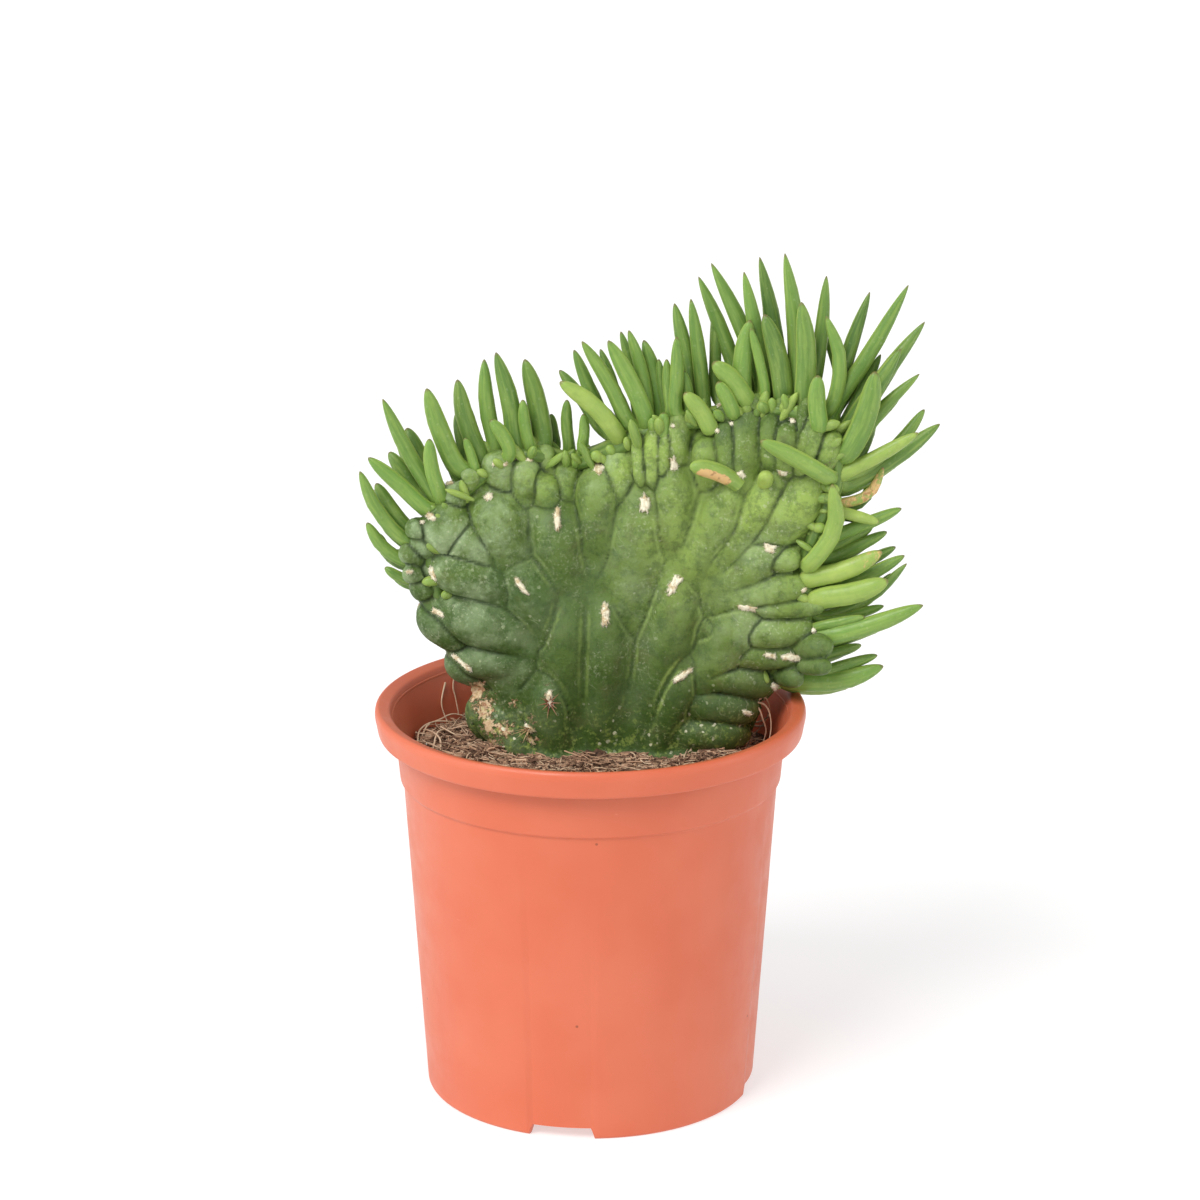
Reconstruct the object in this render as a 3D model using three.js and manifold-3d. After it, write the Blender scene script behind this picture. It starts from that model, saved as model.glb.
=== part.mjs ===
// Potted crested eve's needle cactus: a fan-shaped, crested stem covered in tubercles, edged with
// short fleshy leaves, growing in peaty soil in a small plastic nursery pot.
// Millimetres, +Z up. Origin: centre of the pot's underside. The fan faces -Y.
import * as THREE from "three";
import { mergeVertices } from "three/addons/utils/BufferGeometryUtils.js";
import Module from "manifold-3d";

const wasm = await Module();
wasm.setup();

// Pot: driving dimensions
const POT_HEIGHT = 98.4;
const RIM_RADIUS = 53;
const FOOT_RADIUS = 40.9;
const SHOULDER_RADIUS = 46.1;
const SHOULDER_Z = 79.5;
const COLLAR_RADIUS = 48;
const LIP_Z = 91.6;
const WALL = 1.3;
const FLOOR = 1.6;
const FOOT_RISE = 3;
const POT_SIDES = 32;
const HUB_RADIUS = 14;
const NOTCH_WIDTH = 16.5;
const NOTCH_TAPER = 1;
const NOTCH_ANGLES = [-100, -10, 80, 170];
const DRAIN_HOLES = 6;
const DRAIN_RADIUS = 3;
const DRAIN_CIRCLE = 27;

// Soil and the gap that touching pieces keep
const GAP = 0.3;
const WELD = 0.01;
const SOIL_Z = 85.5;
const SOIL_RELIEF = 1.1;
const SOIL_SIDES = 28;
const SOIL_RINGS = 6;

// Stem: the fan's outline is read in a front view from EYE, which looks down a little
const EYE = { x: 2.35, y: -955.4, z: 413.7 };
const STEM_FOOT_Z = 77;
const STEM_FOOT_LEFT = -24;
const STEM_FOOT_RIGHT = 37;
const BASE_HALF_THICKNESS = 14;
const THINNING = 0.065;
const EDGE_ROUNDING = 15;
const FAN_RAYS = 14;
const FAN_LEVELS = 5;
const CORE_SINK = 4.2;
const THINNEST_CORE = 0.8;
const CREST_FACE = 5.5;
const TUBERCLE_SWELL = 1.14;
const REAR_SWELL = 1.32;
const TUBERCLE_DEPTH = 0.46;
const TUBERCLE_SPANS = 4;
const TIP_RELIEF = 0.1;
const ROOT_RELIEF = -0.16;
const TUBERCLE_SIDES = 6;
const REAR_TUBERCLE_SIDES = 5;
const REAR_SMALLEST = 8.2;

// Crest: the growing edge that carries the leaves
const CREST_HEIGHT = 2.4;
const CREST_DROP = 1.2;
const CREST_DEPTH = 4;
const CROWN_DEPTH = 4.6;
const CREST_SIDES = 6;
const LEAF_SIDES = 4;
const LEAF_FLATNESS = 0.85;
const NECK = 2.5;
const ROW_DEPTH = 4;
const ROW_LEAN = 0.16;
const REAR_SEED = 11;

const GREEN_STEM = 0x66855a;
const GREEN_LEAF = 0x7fa850;
const TERRACOTTA = 0xe07a58;
const PEAT = 0x5b4334;

// Crest outline of the bare fan, from the lower left round to the lower right: x, z
const CREST = [
  [-26, 96],
  [-31, 106],
  [-36, 116],
  [-38, 126],
  [-40, 136],
  [-38, 146],
  [-31, 154],
  [-23, 160],
  [-14, 163],
  [-6, 161],
  [3, 163],
  [12, 168],
  [21, 171],
  [30, 172],
  [40, 174],
  [49, 174],
  [56, 170],
  [60, 163],
  [60, 154],
  [57, 145],
  [54, 136],
  [54, 125],
  [52, 115],
  [46, 106],
  [41, 97],
];

// Tubercles of the front: root x, z, tip x, z, width, bow, depth behind the front face
const TUBERCLES = [
  // ribs that rise from the soil, left to right
  [-15, 84, -29, 100, 9, 0, 0],
  [-7, 84, -10.5, 104, 9, 0, 0],
  [-6, 88, -6, 126, 10, 0, 0],
  [2, 82, 3.5, 126, 10, 0, 0],
  [9, 84, 22, 133, 10.5, 2, 0],
  [13, 84, 23.5, 109, 9.5, 1, 0],
  [17, 98, 39, 125, 12.5, 3, 0],
  // left lobes that lie on their sides
  [-22, 105, -35.5, 110.5, 7, 0, 7],
  [-28, 112, -41.5, 123, 7.5, 0, 7],
  [-15, 109, -35, 112, 9, -1, 1],
  [-13, 112, -40, 124, 12, 1, 0],
  [-17, 126, -39.5, 133.5, 10.5, 1, 0],
  [-23, 133, -40, 146.5, 11.5, 1, 0],
  [-5, 110, -19.5, 134, 13, 1, 0],
  // left edge
  [-36, 124, -43, 129.5, 6, 0, 1],
  [-38, 129, -45.5, 132, 4.5, 0, 1],
  [-38, 134, -46, 137.5, 5.5, 0, 1],
  [-36, 136, -43, 139.5, 5.5, 0, 0],
  [-38, 140, -44, 144, 5.5, 0, 0],
  // ovals below the left crest
  [-17, 128, -25.4, 152.2, 12.4, 0, 0],
  [-32.5, 146, -33, 154.2, 6.5, 0, 0],
  [-29.5, 152.5, -28.8, 157.7, 4.6, 0, 0],
  [-22.5, 151.5, -22, 162.3, 7.6, 0, 0],
  [-15.3, 150.5, -15.8, 160.6, 6.2, 0, 0],
  [-8, 145, -12, 155.8, 6.6, 0, 0],
  [-9.5, 153, -11.3, 163.9, 5.3, 0, 1],
  [-7, 147, -5.4, 162, 7.2, 0, 0],
  [-6, 122, -8.7, 150.8, 13, 0, 0],
  [2.5, 133, 2.2, 158.8, 11, 0, 0],
  [9.3, 146, 5.8, 163.8, 8.4, 0, 1],
  // centre and the diagonal ribs to the right
  [7, 116, 13.5, 154, 13.5, 0, 0],
  [12.2, 152.5, 11.2, 167.7, 3.2, 0, 0],
  [15, 152.5, 15.2, 168.7, 4.4, 0, 0],
  [17.9, 155, 18.2, 167, 3.2, 0, 0],
  [19.2, 138, 20.4, 158.8, 9, 0, 0],
  [20, 156, 21.5, 172, 5.6, 0, 0],
  [19, 126, 35.2, 156, 11, 1.5, 0],
  [25, 130, 45.5, 157.5, 9.5, 2, 0],
  [34, 134, 55, 157, 11, 2, 0],
  // upper right, below the crown
  [29, 154, 27.5, 166, 6, 0, 0],
  [33, 154, 32, 170, 5.5, 0, 0],
  [36, 150, 38, 173.5, 9, 0, 0],
  [33.5, 166, 32.5, 174, 5.5, 0, 0],
  [44, 157, 43, 172, 5, 0, 0],
  [47, 156, 47.5, 169, 5.5, 0, 0],
  [50.5, 156, 54.8, 171, 6, 0, 0],
  [54, 154, 59.5, 167, 6, 0, 0],
  [47, 166, 47, 177, 5.5, 0, 1],
  [51, 166, 52.3, 175.5, 4, 0, 0],
  [40, 168, 40, 176.5, 5.5, 0, 0],
  // right side, fanning out towards the viewer
  [27, 128, 45.5, 139, 10, 1.5, 0],
  [42, 134, 51.5, 135.5, 5.5, 0, 0],
  [28, 124.5, 53.5, 129.3, 7.5, 0.5, 0],
  [39, 122.6, 57, 122.9, 5, 0, 0],
  [27, 116.5, 54.8, 117.8, 7.4, 0.8, 0],
  [48.5, 112.4, 58.8, 113, 6.2, 0, 0],
  [25, 109.5, 51.5, 110, 7, -1.2, 0],
  [51, 107.5, 59, 107.8, 4.2, 0, 0],
  [43.5, 106.3, 52, 104.3, 5, 0, 0],
  [22, 103.2, 45, 101.7, 8.8, -2.9, 0],
  [21.5, 98.2, 41, 96, 8.8, -0.6, 0],
  [20, 90.5, 39, 90, 7.5, 0, 0],
];

// Leaves that the front view shows: tip x, z, base x, z, width, bow, row (-1 front, 1 rear)
const LEAVES = {
  leaves_left: [
    [-50, 133, -43, 129.5, 2.6, -0.6, 0],
    [-54.2, 144.3, -44, 134.5, 3.2, -1.8, 0],
    [-48, 137.2, -43, 134.5, 2.4, 0, 0.6],
    [-55.7, 157.2, -43.5, 139.5, 3.4, -2.2, -0.4],
    [-51.8, 154.2, -43, 142, 3.9, -1, 0.3],
    [-53.6, 160.6, -39, 147.5, 3.9, 0, -0.5],
    [-48.5, 162, -42, 152, 3.6, 0, 0.7],
    [-49.9, 175.2, -37.5, 151, 3.7, -0.8, -0.2],
    [-44.2, 168, -37, 152, 5, -0.6, 0.9],
    [-38.8, 165.3, -36.4, 151.5, 3.5, -0.8, -0.9],
    [-39.3, 177.8, -31.5, 158, 4.6, -0.9, -0.3],
    [-36, 163.5, -32, 155.5, 2.2, 0, 0.2],
    [-32, 172, -29.5, 160, 3.2, -0.3, 1],
    [-30.2, 165.5, -27.3, 157, 2.3, 0, -0.6],
    [-31.9, 180, -26, 159.5, 4.4, -1, 0.2],
    [-25.4, 185, -23, 161.5, 3.8, -0.7, 0.4],
    [-24, 170, -19.5, 161.5, 3.4, 0.8, -1],
  ],
  leaves_middle: [
    [-22.6, 186.7, -17, 162, 4.4, 0.6, 0],
    [-16.2, 175, -14.2, 162.5, 2.9, -0.6, -0.5],
    [-17.2, 174, -17.5, 163, 3.2, 0, 0.9],
    [-15.7, 185, -11.5, 164, 4.7, 0.7, 0.2],
    [-9.4, 171.5, -8.5, 163, 2.6, 0, 0.9],
    [-5.6, 175, -5.2, 163, 2.8, -0.3, -0.2],
    [-7.4, 182.3, 2.5, 168, 3.1, 0.4, 0.8],
    [-7.3, 179.4, 6.2, 166.8, 4.5, 1.2, -1],
    [-1.6, 171.5, -1.8, 162.5, 2.6, 0.3, -0.8],
    [-3.9, 187.3, 3.5, 168, 3.2, 0, 0.3],
    [-2, 189.4, 9.8, 168.8, 3.6, 0.6, -0.5],
    [2.4, 187.5, 8, 170, 2.6, 0.3, 0.9],
    [4.3, 189.6, 13.6, 169.8, 4.2, 0.6, -0.6],
    [7.3, 191.8, 12.5, 172, 2.7, 0.3, 0.4],
    [9.2, 192.1, 13.8, 171, 3.2, 0.9, 0],
    [12.8, 189.7, 16.6, 170.5, 3.7, 0.9, 0.4],
    [16.4, 185, 18, 171, 2.4, 0, 0.2],
    [18.3, 185, 19, 171, 2.6, 0, -0.5],
    [17.7, 171.8, 17.6, 166, 3, 0, -0.9],
  ],
  leaves_crown: [
    [20.7, 190.5, 21, 171.5, 3.2, 0, -0.7],
    [20.1, 198.7, 24, 174, 3.8, 0.7, 0.5],
    [24, 199.8, 27.4, 173, 3.5, 0.3, 0.2],
    [22.4, 182.2, 24.6, 171, 2.7, 0, -0.4],
    [22.6, 176.7, 29, 167.5, 4.1, 0.7, -1.2],
    [25.8, 205.2, 36.5, 178, 3.6, 0.4, 0.8],
    [29.7, 198, 30.3, 176, 2.8, 0, 0.9],
    [28.8, 208.5, 41.5, 178, 4, 0.8, 0.5],
    [29.4, 184.2, 37.5, 175, 4.7, 0.7, -0.9],
    [30.6, 179.4, 34.5, 171.5, 3.6, 0.2, -1.2],
    [36.6, 206.4, 42, 177, 3.7, 0.3, 0],
    [38.2, 194.6, 36.8, 176, 4.6, -0.9, -0.5],
    [38.4, 192.6, 42, 176, 2.4, 0.4, -0.8],
    [40.3, 210, 45.8, 176, 4, 0.8, 0.6],
    [41.6, 196, 46.4, 176, 4.8, 0.8, -0.4],
    [46.3, 210.9, 49, 176, 4.1, 1.4, 0.2],
    [50.4, 199, 51.5, 175, 4.8, 0.8, -0.3],
    [56.3, 205.4, 53.6, 178, 3.3, 0.4, 0.8],
    [54.6, 181, 55, 168, 4.2, -0.4, -1.1],
    [56.4, 195.6, 57, 172, 3.4, 3.2, 0],
  ],
  leaves_right: [
    [66.7, 201.5, 58.5, 172, 3.6, -0.6, 0.7],
    [75.9, 203.2, 57.5, 170, 3.8, 0.3, 0.3],
    [69.6, 186.2, 60, 166, 3, 0, 0.7],
    [80, 194.2, 62, 168, 3.9, -0.4, 0.5],
    [74.4, 187.6, 62, 164, 4, -0.6, 0.1],
    [68.4, 182, 62, 162, 5.4, 1.3, -0.6],
    [79, 181.4, 61.5, 160, 3.2, -1.4, 0.3],
    [80.4, 172.6, 68, 158.5, 3, 1, 0.8],
    [84.2, 169, 62, 154, 4.2, 1, 0.6],
    [79, 166.8, 60, 156, 3.4, 0.3, -0.4],
    [41, 164.8, 57, 156, 4.2, 0.3, -1.5],
    [70.8, 158.4, 60, 149, 3, 3, 0.2],
    [75.4, 147.9, 58, 141, 3.2, 0.4, 0.2],
    [70, 144.4, 59, 147.5, 2.8, 0, -0.2],
    [58.5, 154, 53, 133.5, 4.2, 3.6, -1.2],
    [72, 142, 57, 135, 3, 0.3, 0.5],
    [68.5, 143.5, 58, 138, 3.6, 0, 0.8],
    [70.9, 137, 53, 130, 4.8, 1.2, -0.8],
    [74.2, 138.2, 58, 131, 3, 0.6, 0.8],
    [76.4, 136, 58, 127.5, 3.4, 0.8, 0.4],
    [72.5, 129.6, 56, 125, 5.2, 0.8, -0.8],
    [77, 134, 57, 120.5, 2.8, 2.2, 0.2],
    [71.6, 123.2, 57, 119.5, 2.6, 0.4, 0],
    [67, 120.4, 56, 118, 2.4, 0, -0.7],
    [81.2, 123.4, 57.5, 115.5, 4.4, 0.8, -0.5],
    [66.3, 113.2, 54, 110, 2.8, 0.3, 0.7],
    [70.3, 110.6, 55, 106.5, 2.8, 0.4, 0],
    [71.8, 107.8, 50.5, 104, 4.8, 1.8, -0.6],
  ],
};

// Stretches of the crest that carry the leaves, as shares of the crest outline's length
const CREST_STRETCHES = {
  leaves_left: [0.125, 0.325],
  leaves_middle: [0.33, 0.505],
  leaves_crown: [0.51, 0.675],
  leaves_right: [0.68, 0.99],
};

// The leaf that grows on the front face, away from the crest
const FACE_LEAF = [24, 158.4, 36, 153.8, 4.4, 1.1, -2];

// A seeded stream of even draws between 0 and 1
function drawer(seed) {
  let state = seed;
  return () => {
    state = (state * 1664525 + 1013904223) % 4294967296;
    return state / 4294967296;
  };
}

function clamp01(t) {
  return Math.min(Math.max(t, 0), 1);
}

function smooth(t) {
  const s = clamp01(t);
  return s * s * (3 - 2 * s);
}

function bell(t) {
  return Math.exp(-t * t);
}

// Moves a place of the front view to a depth y, along its line of sight
function sight(x, z, y) {
  const reach = 1 - y / EYE.y;
  return new THREE.Vector3(EYE.x + (x - EYE.x) * reach, y, EYE.z + (z - EYE.z) * reach);
}

function solid(geometry) {
  const bare = geometry.clone();
  bare.deleteAttribute("normal");
  bare.deleteAttribute("uv");
  const merged = mergeVertices(bare, 1e-4);
  const vertProperties = new Float32Array(merged.attributes.position.array);
  const triVerts = new Uint32Array(merged.index.array);
  return new wasm.Manifold(new wasm.Mesh({ numProp: 3, vertProperties, triVerts }));
}

function fuse(solids) {
  return solids.reduce((whole, piece) => whole.add(piece));
}

function geometryOf(whole) {
  const made = whole.getMesh();
  const geometry = new THREE.BufferGeometry();
  geometry.setAttribute("position", new THREE.BufferAttribute(made.vertProperties, made.numProp));
  geometry.setIndex(new THREE.BufferAttribute(made.triVerts, 1));
  return geometry;
}

// The largest body, with its cavities filled and without loose scraps.
// Corners first move to a fine grid, so no crack narrower than that is left to seal a cavity.
function mainBody(whole) {
  const geometry = geometryOf(whole);
  const places = geometry.attributes.position.array;
  places.forEach((value, i) => {
    places[i] = Math.round(value / WELD) * WELD;
  });
  const bodies = solid(geometry).decompose();
  return bodies.reduce((best, body) => (body.volume() > best.volume() ? body : best));
}

function meshOf(name, whole, color, roughness) {
  const geometry = geometryOf(whole);
  geometry.computeVertexNormals();
  const material = new THREE.MeshStandardMaterial({ color, roughness, metalness: 0 });
  const mesh = new THREE.Mesh(geometry, material);
  mesh.name = name;
  return mesh;
}

// A surface of revolution about +Z from a profile of [radius, z]
function turned(profile, sides) {
  const points = profile.map(([r, z]) => new THREE.Vector2(r, z));
  return new THREE.LatheGeometry(points, sides).rotateX(Math.PI / 2);
}

function potProfile() {
  const innerFoot = FOOT_RADIUS - WALL - 0.8;
  const skirt = RIM_RADIUS - WALL;
  return [
    [0, 0],
    [HUB_RADIUS, 0],
    [HUB_RADIUS + 1, FOOT_RISE],
    [innerFoot - 0.8, FOOT_RISE],
    [innerFoot, 0],
    [FOOT_RADIUS - 0.5, 0],
    [FOOT_RADIUS, 0.6],
    [SHOULDER_RADIUS, SHOULDER_Z],
    [SHOULDER_RADIUS + 0.8, SHOULDER_Z + 0.6],
    [COLLAR_RADIUS, LIP_Z],
    [COLLAR_RADIUS + 0.5, LIP_Z + 4.6],
    [skirt - 0.4, LIP_Z + 4.6],
    [skirt - 0.9, LIP_Z],
    [RIM_RADIUS - 1.1, LIP_Z],
    [RIM_RADIUS - 0.8, LIP_Z + 0.6],
    [RIM_RADIUS, POT_HEIGHT - 2],
    [RIM_RADIUS - 0.2, POT_HEIGHT - 0.7],
    [RIM_RADIUS - 0.9, POT_HEIGHT],
    [RIM_RADIUS - 3.6, POT_HEIGHT - 0.8],
    [RIM_RADIUS - 4.2, POT_HEIGHT - 1.8],
    [COLLAR_RADIUS - WALL, LIP_Z - 1.4],
    ...innerWall(0),
  ];
}

// The inside of the pot from the shoulder down, moved inwards by a clearance
function innerWall(clearance) {
  return [
    [SHOULDER_RADIUS - WALL + 0.8 - clearance, SHOULDER_Z + 0.9],
    [SHOULDER_RADIUS - WALL - clearance, SHOULDER_Z - 0.6],
    [FOOT_RADIUS - WALL - 0.1 - clearance, FOOT_RISE + FLOOR + 1],
    [FOOT_RADIUS - WALL - 1 - clearance, FOOT_RISE + FLOOR + clearance],
    [HUB_RADIUS + 1 - clearance, FOOT_RISE + FLOOR + clearance],
    [HUB_RADIUS - 0.4 - clearance, FLOOR + clearance],
    [0, FLOOR + clearance],
  ];
}

// A foot notch: a short prism across the foot ring, wider at the ground
function notch(angle) {
  const half = NOTCH_WIDTH / 2;
  const below = -1;
  const shape = new THREE.Shape([
    new THREE.Vector2(-half, below),
    new THREE.Vector2(half, below),
    new THREE.Vector2(half - NOTCH_TAPER, FOOT_RISE),
    new THREE.Vector2(-half + NOTCH_TAPER, FOOT_RISE),
  ]);
  const depth = 6;
  return new THREE.ExtrudeGeometry(shape, { depth, bevelEnabled: false })
    .rotateX(Math.PI / 2)
    .rotateZ(Math.PI / 2)
    .translate(FOOT_RADIUS - depth + 2, 0, 0)
    .rotateZ(THREE.MathUtils.degToRad(angle));
}

function drainHole(index) {
  const angle = ((index + 0.5) / DRAIN_HOLES) * 2 * Math.PI;
  return new THREE.CylinderGeometry(DRAIN_RADIUS, DRAIN_RADIUS, FOOT_RISE + FLOOR + 4, 10)
    .rotateX(Math.PI / 2)
    .translate(DRAIN_CIRCLE * Math.cos(angle), DRAIN_CIRCLE * Math.sin(angle), FOOT_RISE);
}

function makePot() {
  const notches = NOTCH_ANGLES.map((angle) => solid(notch(angle)));
  const holes = Array.from({ length: DRAIN_HOLES }, (_, i) => solid(drainHole(i)));
  const body = solid(turned(potProfile(), POT_SIDES));
  return body.subtract(fuse([...notches, ...holes]));
}

// Height of the soil: low waves, a little lower at the wall
function soilHeight(x, y) {
  const waves = Math.sin(x * 0.21 + 1) * Math.cos(y * 0.17) + 0.6 * Math.sin(x * 0.47 - y * 0.39);
  const dish = 1.4 * smooth((Math.hypot(x, y) - 30) / 15);
  return SOIL_Z + SOIL_RELIEF * waves - dish;
}

// The soil without its hole; lift raises the top, for cutting what stands above it
function soilBlock(lift, clearance) {
  const wall = innerWall(clearance);
  const topRadius = wall[0][0] + 0.3;
  const profile = [];
  for (let ring = 0; ring <= SOIL_RINGS; ring++) {
    profile.push([(topRadius * ring) / SOIL_RINGS, SOIL_Z]);
  }
  const geometry = turned([...wall.reverse(), ...profile.reverse()], SOIL_SIDES);
  const place = geometry.attributes.position;
  for (let i = 0; i < place.count; i++) {
    if (place.getZ(i) === Math.fround(SOIL_Z)) {
      place.setZ(i, soilHeight(place.getX(i), place.getY(i)) + lift);
    }
  }
  return solid(geometry);
}

// The fan's half thickness and middle depth at a place of the front view
const fanEdge = [[STEM_FOOT_LEFT, STEM_FOOT_Z - 12], ...CREST, [STEM_FOOT_RIGHT, STEM_FOOT_Z - 12]];

function edgeDistance(x, z) {
  let nearest = Infinity;
  for (let i = 1; i < fanEdge.length; i++) {
    const [ax, az] = fanEdge[i - 1];
    const [bx, bz] = fanEdge[i];
    const along = ((x - ax) * (bx - ax) + (z - az) * (bz - az)) / ((bx - ax) ** 2 + (bz - az) ** 2);
    const t = clamp01(along);
    nearest = Math.min(nearest, Math.hypot(x - ax - t * (bx - ax), z - az - t * (bz - az)));
  }
  return nearest;
}

function halfThickness(x, z) {
  const full = BASE_HALF_THICKNESS - THINNING * (z - STEM_FOOT_Z);
  const crown = 1 + 0.25 * smooth((x - 20) / 20) * smooth((z - 140) / 25);
  const inwards = 1 - clamp01(edgeDistance(x, z) / EDGE_ROUNDING);
  return full * crown * Math.sqrt(1 - inwards * inwards);
}

function middleDepth(x, z) {
  const lean = 8 - 0.03 * (z - STEM_FOOT_Z);
  const rise = smooth((z - 100) / 50);
  const rightFold = -11 * smooth((x - 36) / 28) * smooth((z - 92) / 20);
  const valley = 4 * bell((x + 6) / 7) * smooth((z - 145) / 15);
  return lean + rightFold + valley + 1.8 * rise * Math.sin((x + 30) * 0.085);
}

const crestPoints = CREST.map(([x, z]) => new THREE.Vector3(x, 0, z));
const crest = new THREE.CatmullRomCurve3(crestPoints, false, "centripetal");

// The bare fan: rays from the foot to the crest, on the front and the back, closed at the edge
function fanCore() {
  const places = [];
  const faces = [];
  const index = (side, ray, level) =>
    (side * (FAN_RAYS + 1) + ray) * (FAN_LEVELS + 1) + level;
  for (const side of [0, 1]) {
    for (let ray = 0; ray <= FAN_RAYS; ray++) {
      const end = crest.getPointAt(ray / FAN_RAYS);
      const footX = STEM_FOOT_LEFT + ((STEM_FOOT_RIGHT - STEM_FOOT_LEFT) * ray) / FAN_RAYS;
      for (let level = 0; level <= FAN_LEVELS; level++) {
        const t = 1 - (1 - level / FAN_LEVELS) ** 1.5;
        const x = footX + (end.x - footX) * t;
        const z = STEM_FOOT_Z + (end.z - STEM_FOOT_Z) * t;
        const rim = ray === 0 || ray === FAN_RAYS || level === FAN_LEVELS;
        const half = rim ? 0 : Math.max(halfThickness(x, z) - CORE_SINK, THINNEST_CORE);
        const place = sight(x, z, middleDepth(x, z) + (side ? half : -half));
        places.push(place.x, place.y, place.z);
      }
    }
  }
  for (let ray = 0; ray < FAN_RAYS; ray++) {
    for (let level = 0; level < FAN_LEVELS; level++) {
      const [a, b] = [index(0, ray, level), index(0, ray + 1, level)];
      const [c, d] = [index(1, ray, level), index(1, ray + 1, level)];
      faces.push(a, b, b + 1, a, b + 1, a + 1);
      faces.push(c, d + 1, d, c, c + 1, d + 1);
    }
    const [a, b] = [index(0, ray, 0), index(0, ray + 1, 0)];
    const [c, d] = [index(1, ray, 0), index(1, ray + 1, 0)];
    faces.push(a, d, b, a, c, d);
  }
  const geometry = new THREE.BufferGeometry();
  geometry.setAttribute("position", new THREE.Float32BufferAttribute(places, 3));
  geometry.setIndex(faces);
  return solid(geometry);
}

// A limb: a profile of [share of the radius, share of the length] swept along a curve.
// deep is the section's size along Y, as a share of its size across the front view.
function limb(path, profile, radius, sides, deep) {
  const points = profile.map(([r, t]) => new THREE.Vector2(r * radius, t));
  const geometry = new THREE.LatheGeometry(points, sides);
  const place = geometry.attributes.position;
  const towards = new THREE.Vector3(0, 1, 0);
  for (let i = 0; i < place.count; i++) {
    const t = clamp01(place.getY(i));
    const along = path.getTangent(t);
    const across = new THREE.Vector3().crossVectors(towards, along).normalize();
    const outwards = new THREE.Vector3().crossVectors(across, along).normalize();
    const at = path.getPoint(t);
    at.addScaledVector(across, place.getX(i));
    at.addScaledVector(outwards, place.getZ(i) * deep);
    place.setXYZ(i, at.x, at.y, at.z);
  }
  return solid(geometry);
}

// A curve from root to tip whose middle is moved sideways in the front view
function bowed(root, tip, bow) {
  const run = new THREE.Vector3().subVectors(tip, root);
  const side = new THREE.Vector3(-run.z, 0, run.x).normalize();
  const middle = new THREE.Vector3().addVectors(root, tip).multiplyScalar(0.5);
  middle.addScaledVector(side, -2 * bow);
  return new THREE.QuadraticBezierCurve3(root, middle, tip);
}

const TUBERCLE_PROFILE = [
  [0, 0],
  [0.86, 0.24],
  [1, 0.62],
  [0.72, 0.92],
  [0, 1],
];

// A tubercle follows the curved face of the fan and stands out more towards its tip
function tubercle([rootX, rootZ, tipX, tipZ, width, bow, behind], side, sides) {
  const [runX, runZ] = [tipX - rootX, tipZ - rootZ];
  const length = Math.hypot(runX, runZ);
  const points = [];
  for (let i = 0; i <= TUBERCLE_SPANS; i++) {
    const t = i / TUBERCLE_SPANS;
    const aside = (4 * bow * t * (1 - t)) / length;
    const [x, z] = [rootX + runX * t + runZ * aside, rootZ + runZ * t - runX * aside];
    const relief = (ROOT_RELIEF + (TIP_RELIEF - ROOT_RELIEF) * t) * width;
    const face = Math.max(halfThickness(x, z), CREST_FACE) + relief - behind;
    points.push(sight(x, z, middleDepth(x, z) + side * (face - TUBERCLE_DEPTH * width)));
  }
  const path = new THREE.CatmullRomCurve3(points, false, "centripetal");
  return limb(path, TUBERCLE_PROFILE, width / 2, sides, 2 * TUBERCLE_DEPTH);
}

// A tubercle of the front as it is modelled, wide enough to press against its neighbours
function swollen([rootX, rootZ, tipX, tipZ, width, bow, behind]) {
  return [rootX, rootZ, tipX, tipZ, width * TUBERCLE_SWELL, bow, behind];
}

// The back repeats the front's growth pattern, each tubercle a little moved and resized
function rearTubercle(row, index) {
  const draw = drawer(REAR_SEED + 37 * index);
  const [rootX, rootZ, tipX, tipZ, width, bow, behind] = row;
  const moveX = 3 * (draw() - 0.5);
  const moveZ = 2 * (draw() - 0.5);
  const grow = REAR_SWELL + 0.25 * (draw() - 0.5);
  return [
    rootX + moveX,
    rootZ + moveZ,
    tipX + moveX * 0.4,
    tipZ + moveZ * 0.4,
    width * grow,
    bow,
    behind / 3,
  ];
}

const LEAF_PROFILE = [
  [0, 0],
  [0.92, 0.34],
  [1, 0.64],
  [0.7, 0.9],
  [0, 1],
];

function crestStretch(node) {
  const [from, to] = CREST_STRETCHES[node];
  const steps = Math.round((to - from) * 36);
  const points = [];
  for (let i = 0; i <= steps; i++) {
    const share = from + ((to - from) * i) / steps;
    const at = crest.getPointAt(share);
    const along = crest.getTangentAt(share);
    const [x, z] = [at.x + CREST_DROP * along.z, at.z - CREST_DROP * along.x];
    points.push(sight(x, z, middleDepth(x, z)));
  }
  return points;
}

// The slim core of a spray: a strip of the growing edge, thicker under the crown
function crestCore(node, strip, clearance) {
  const points = strip.map((point) => point.clone());
  const stretch = 1 + clearance;
  points[0].lerpVectors(strip[1], strip[0], stretch);
  points[points.length - 1].lerpVectors(strip.at(-2), strip.at(-1), stretch);
  const path = new THREE.CatmullRomCurve3(points, false, "centripetal");
  const deep = node === "leaves_crown" ? CROWN_DEPTH : CREST_DEPTH;
  const profile = [[0, 0]];
  for (let i = 0; i < points.length; i++) {
    profile.push([1, 0.01 + (0.98 * i) / (points.length - 1)]);
  }
  profile.push([0, 1]);
  const radius = CREST_HEIGHT + clearance;
  return limb(path, profile, radius, CREST_SIDES, (deep + clearance) / radius);
}

// The nearest place on a spray's strip to a leaf's base
function anchorOf(strip, x, z) {
  const points = strip.slice(1, -1);
  const off = (p) => Math.hypot(p.x - x, p.z - z);
  return points.reduce((best, p) => (off(p) < off(best) ? p : best));
}

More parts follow.
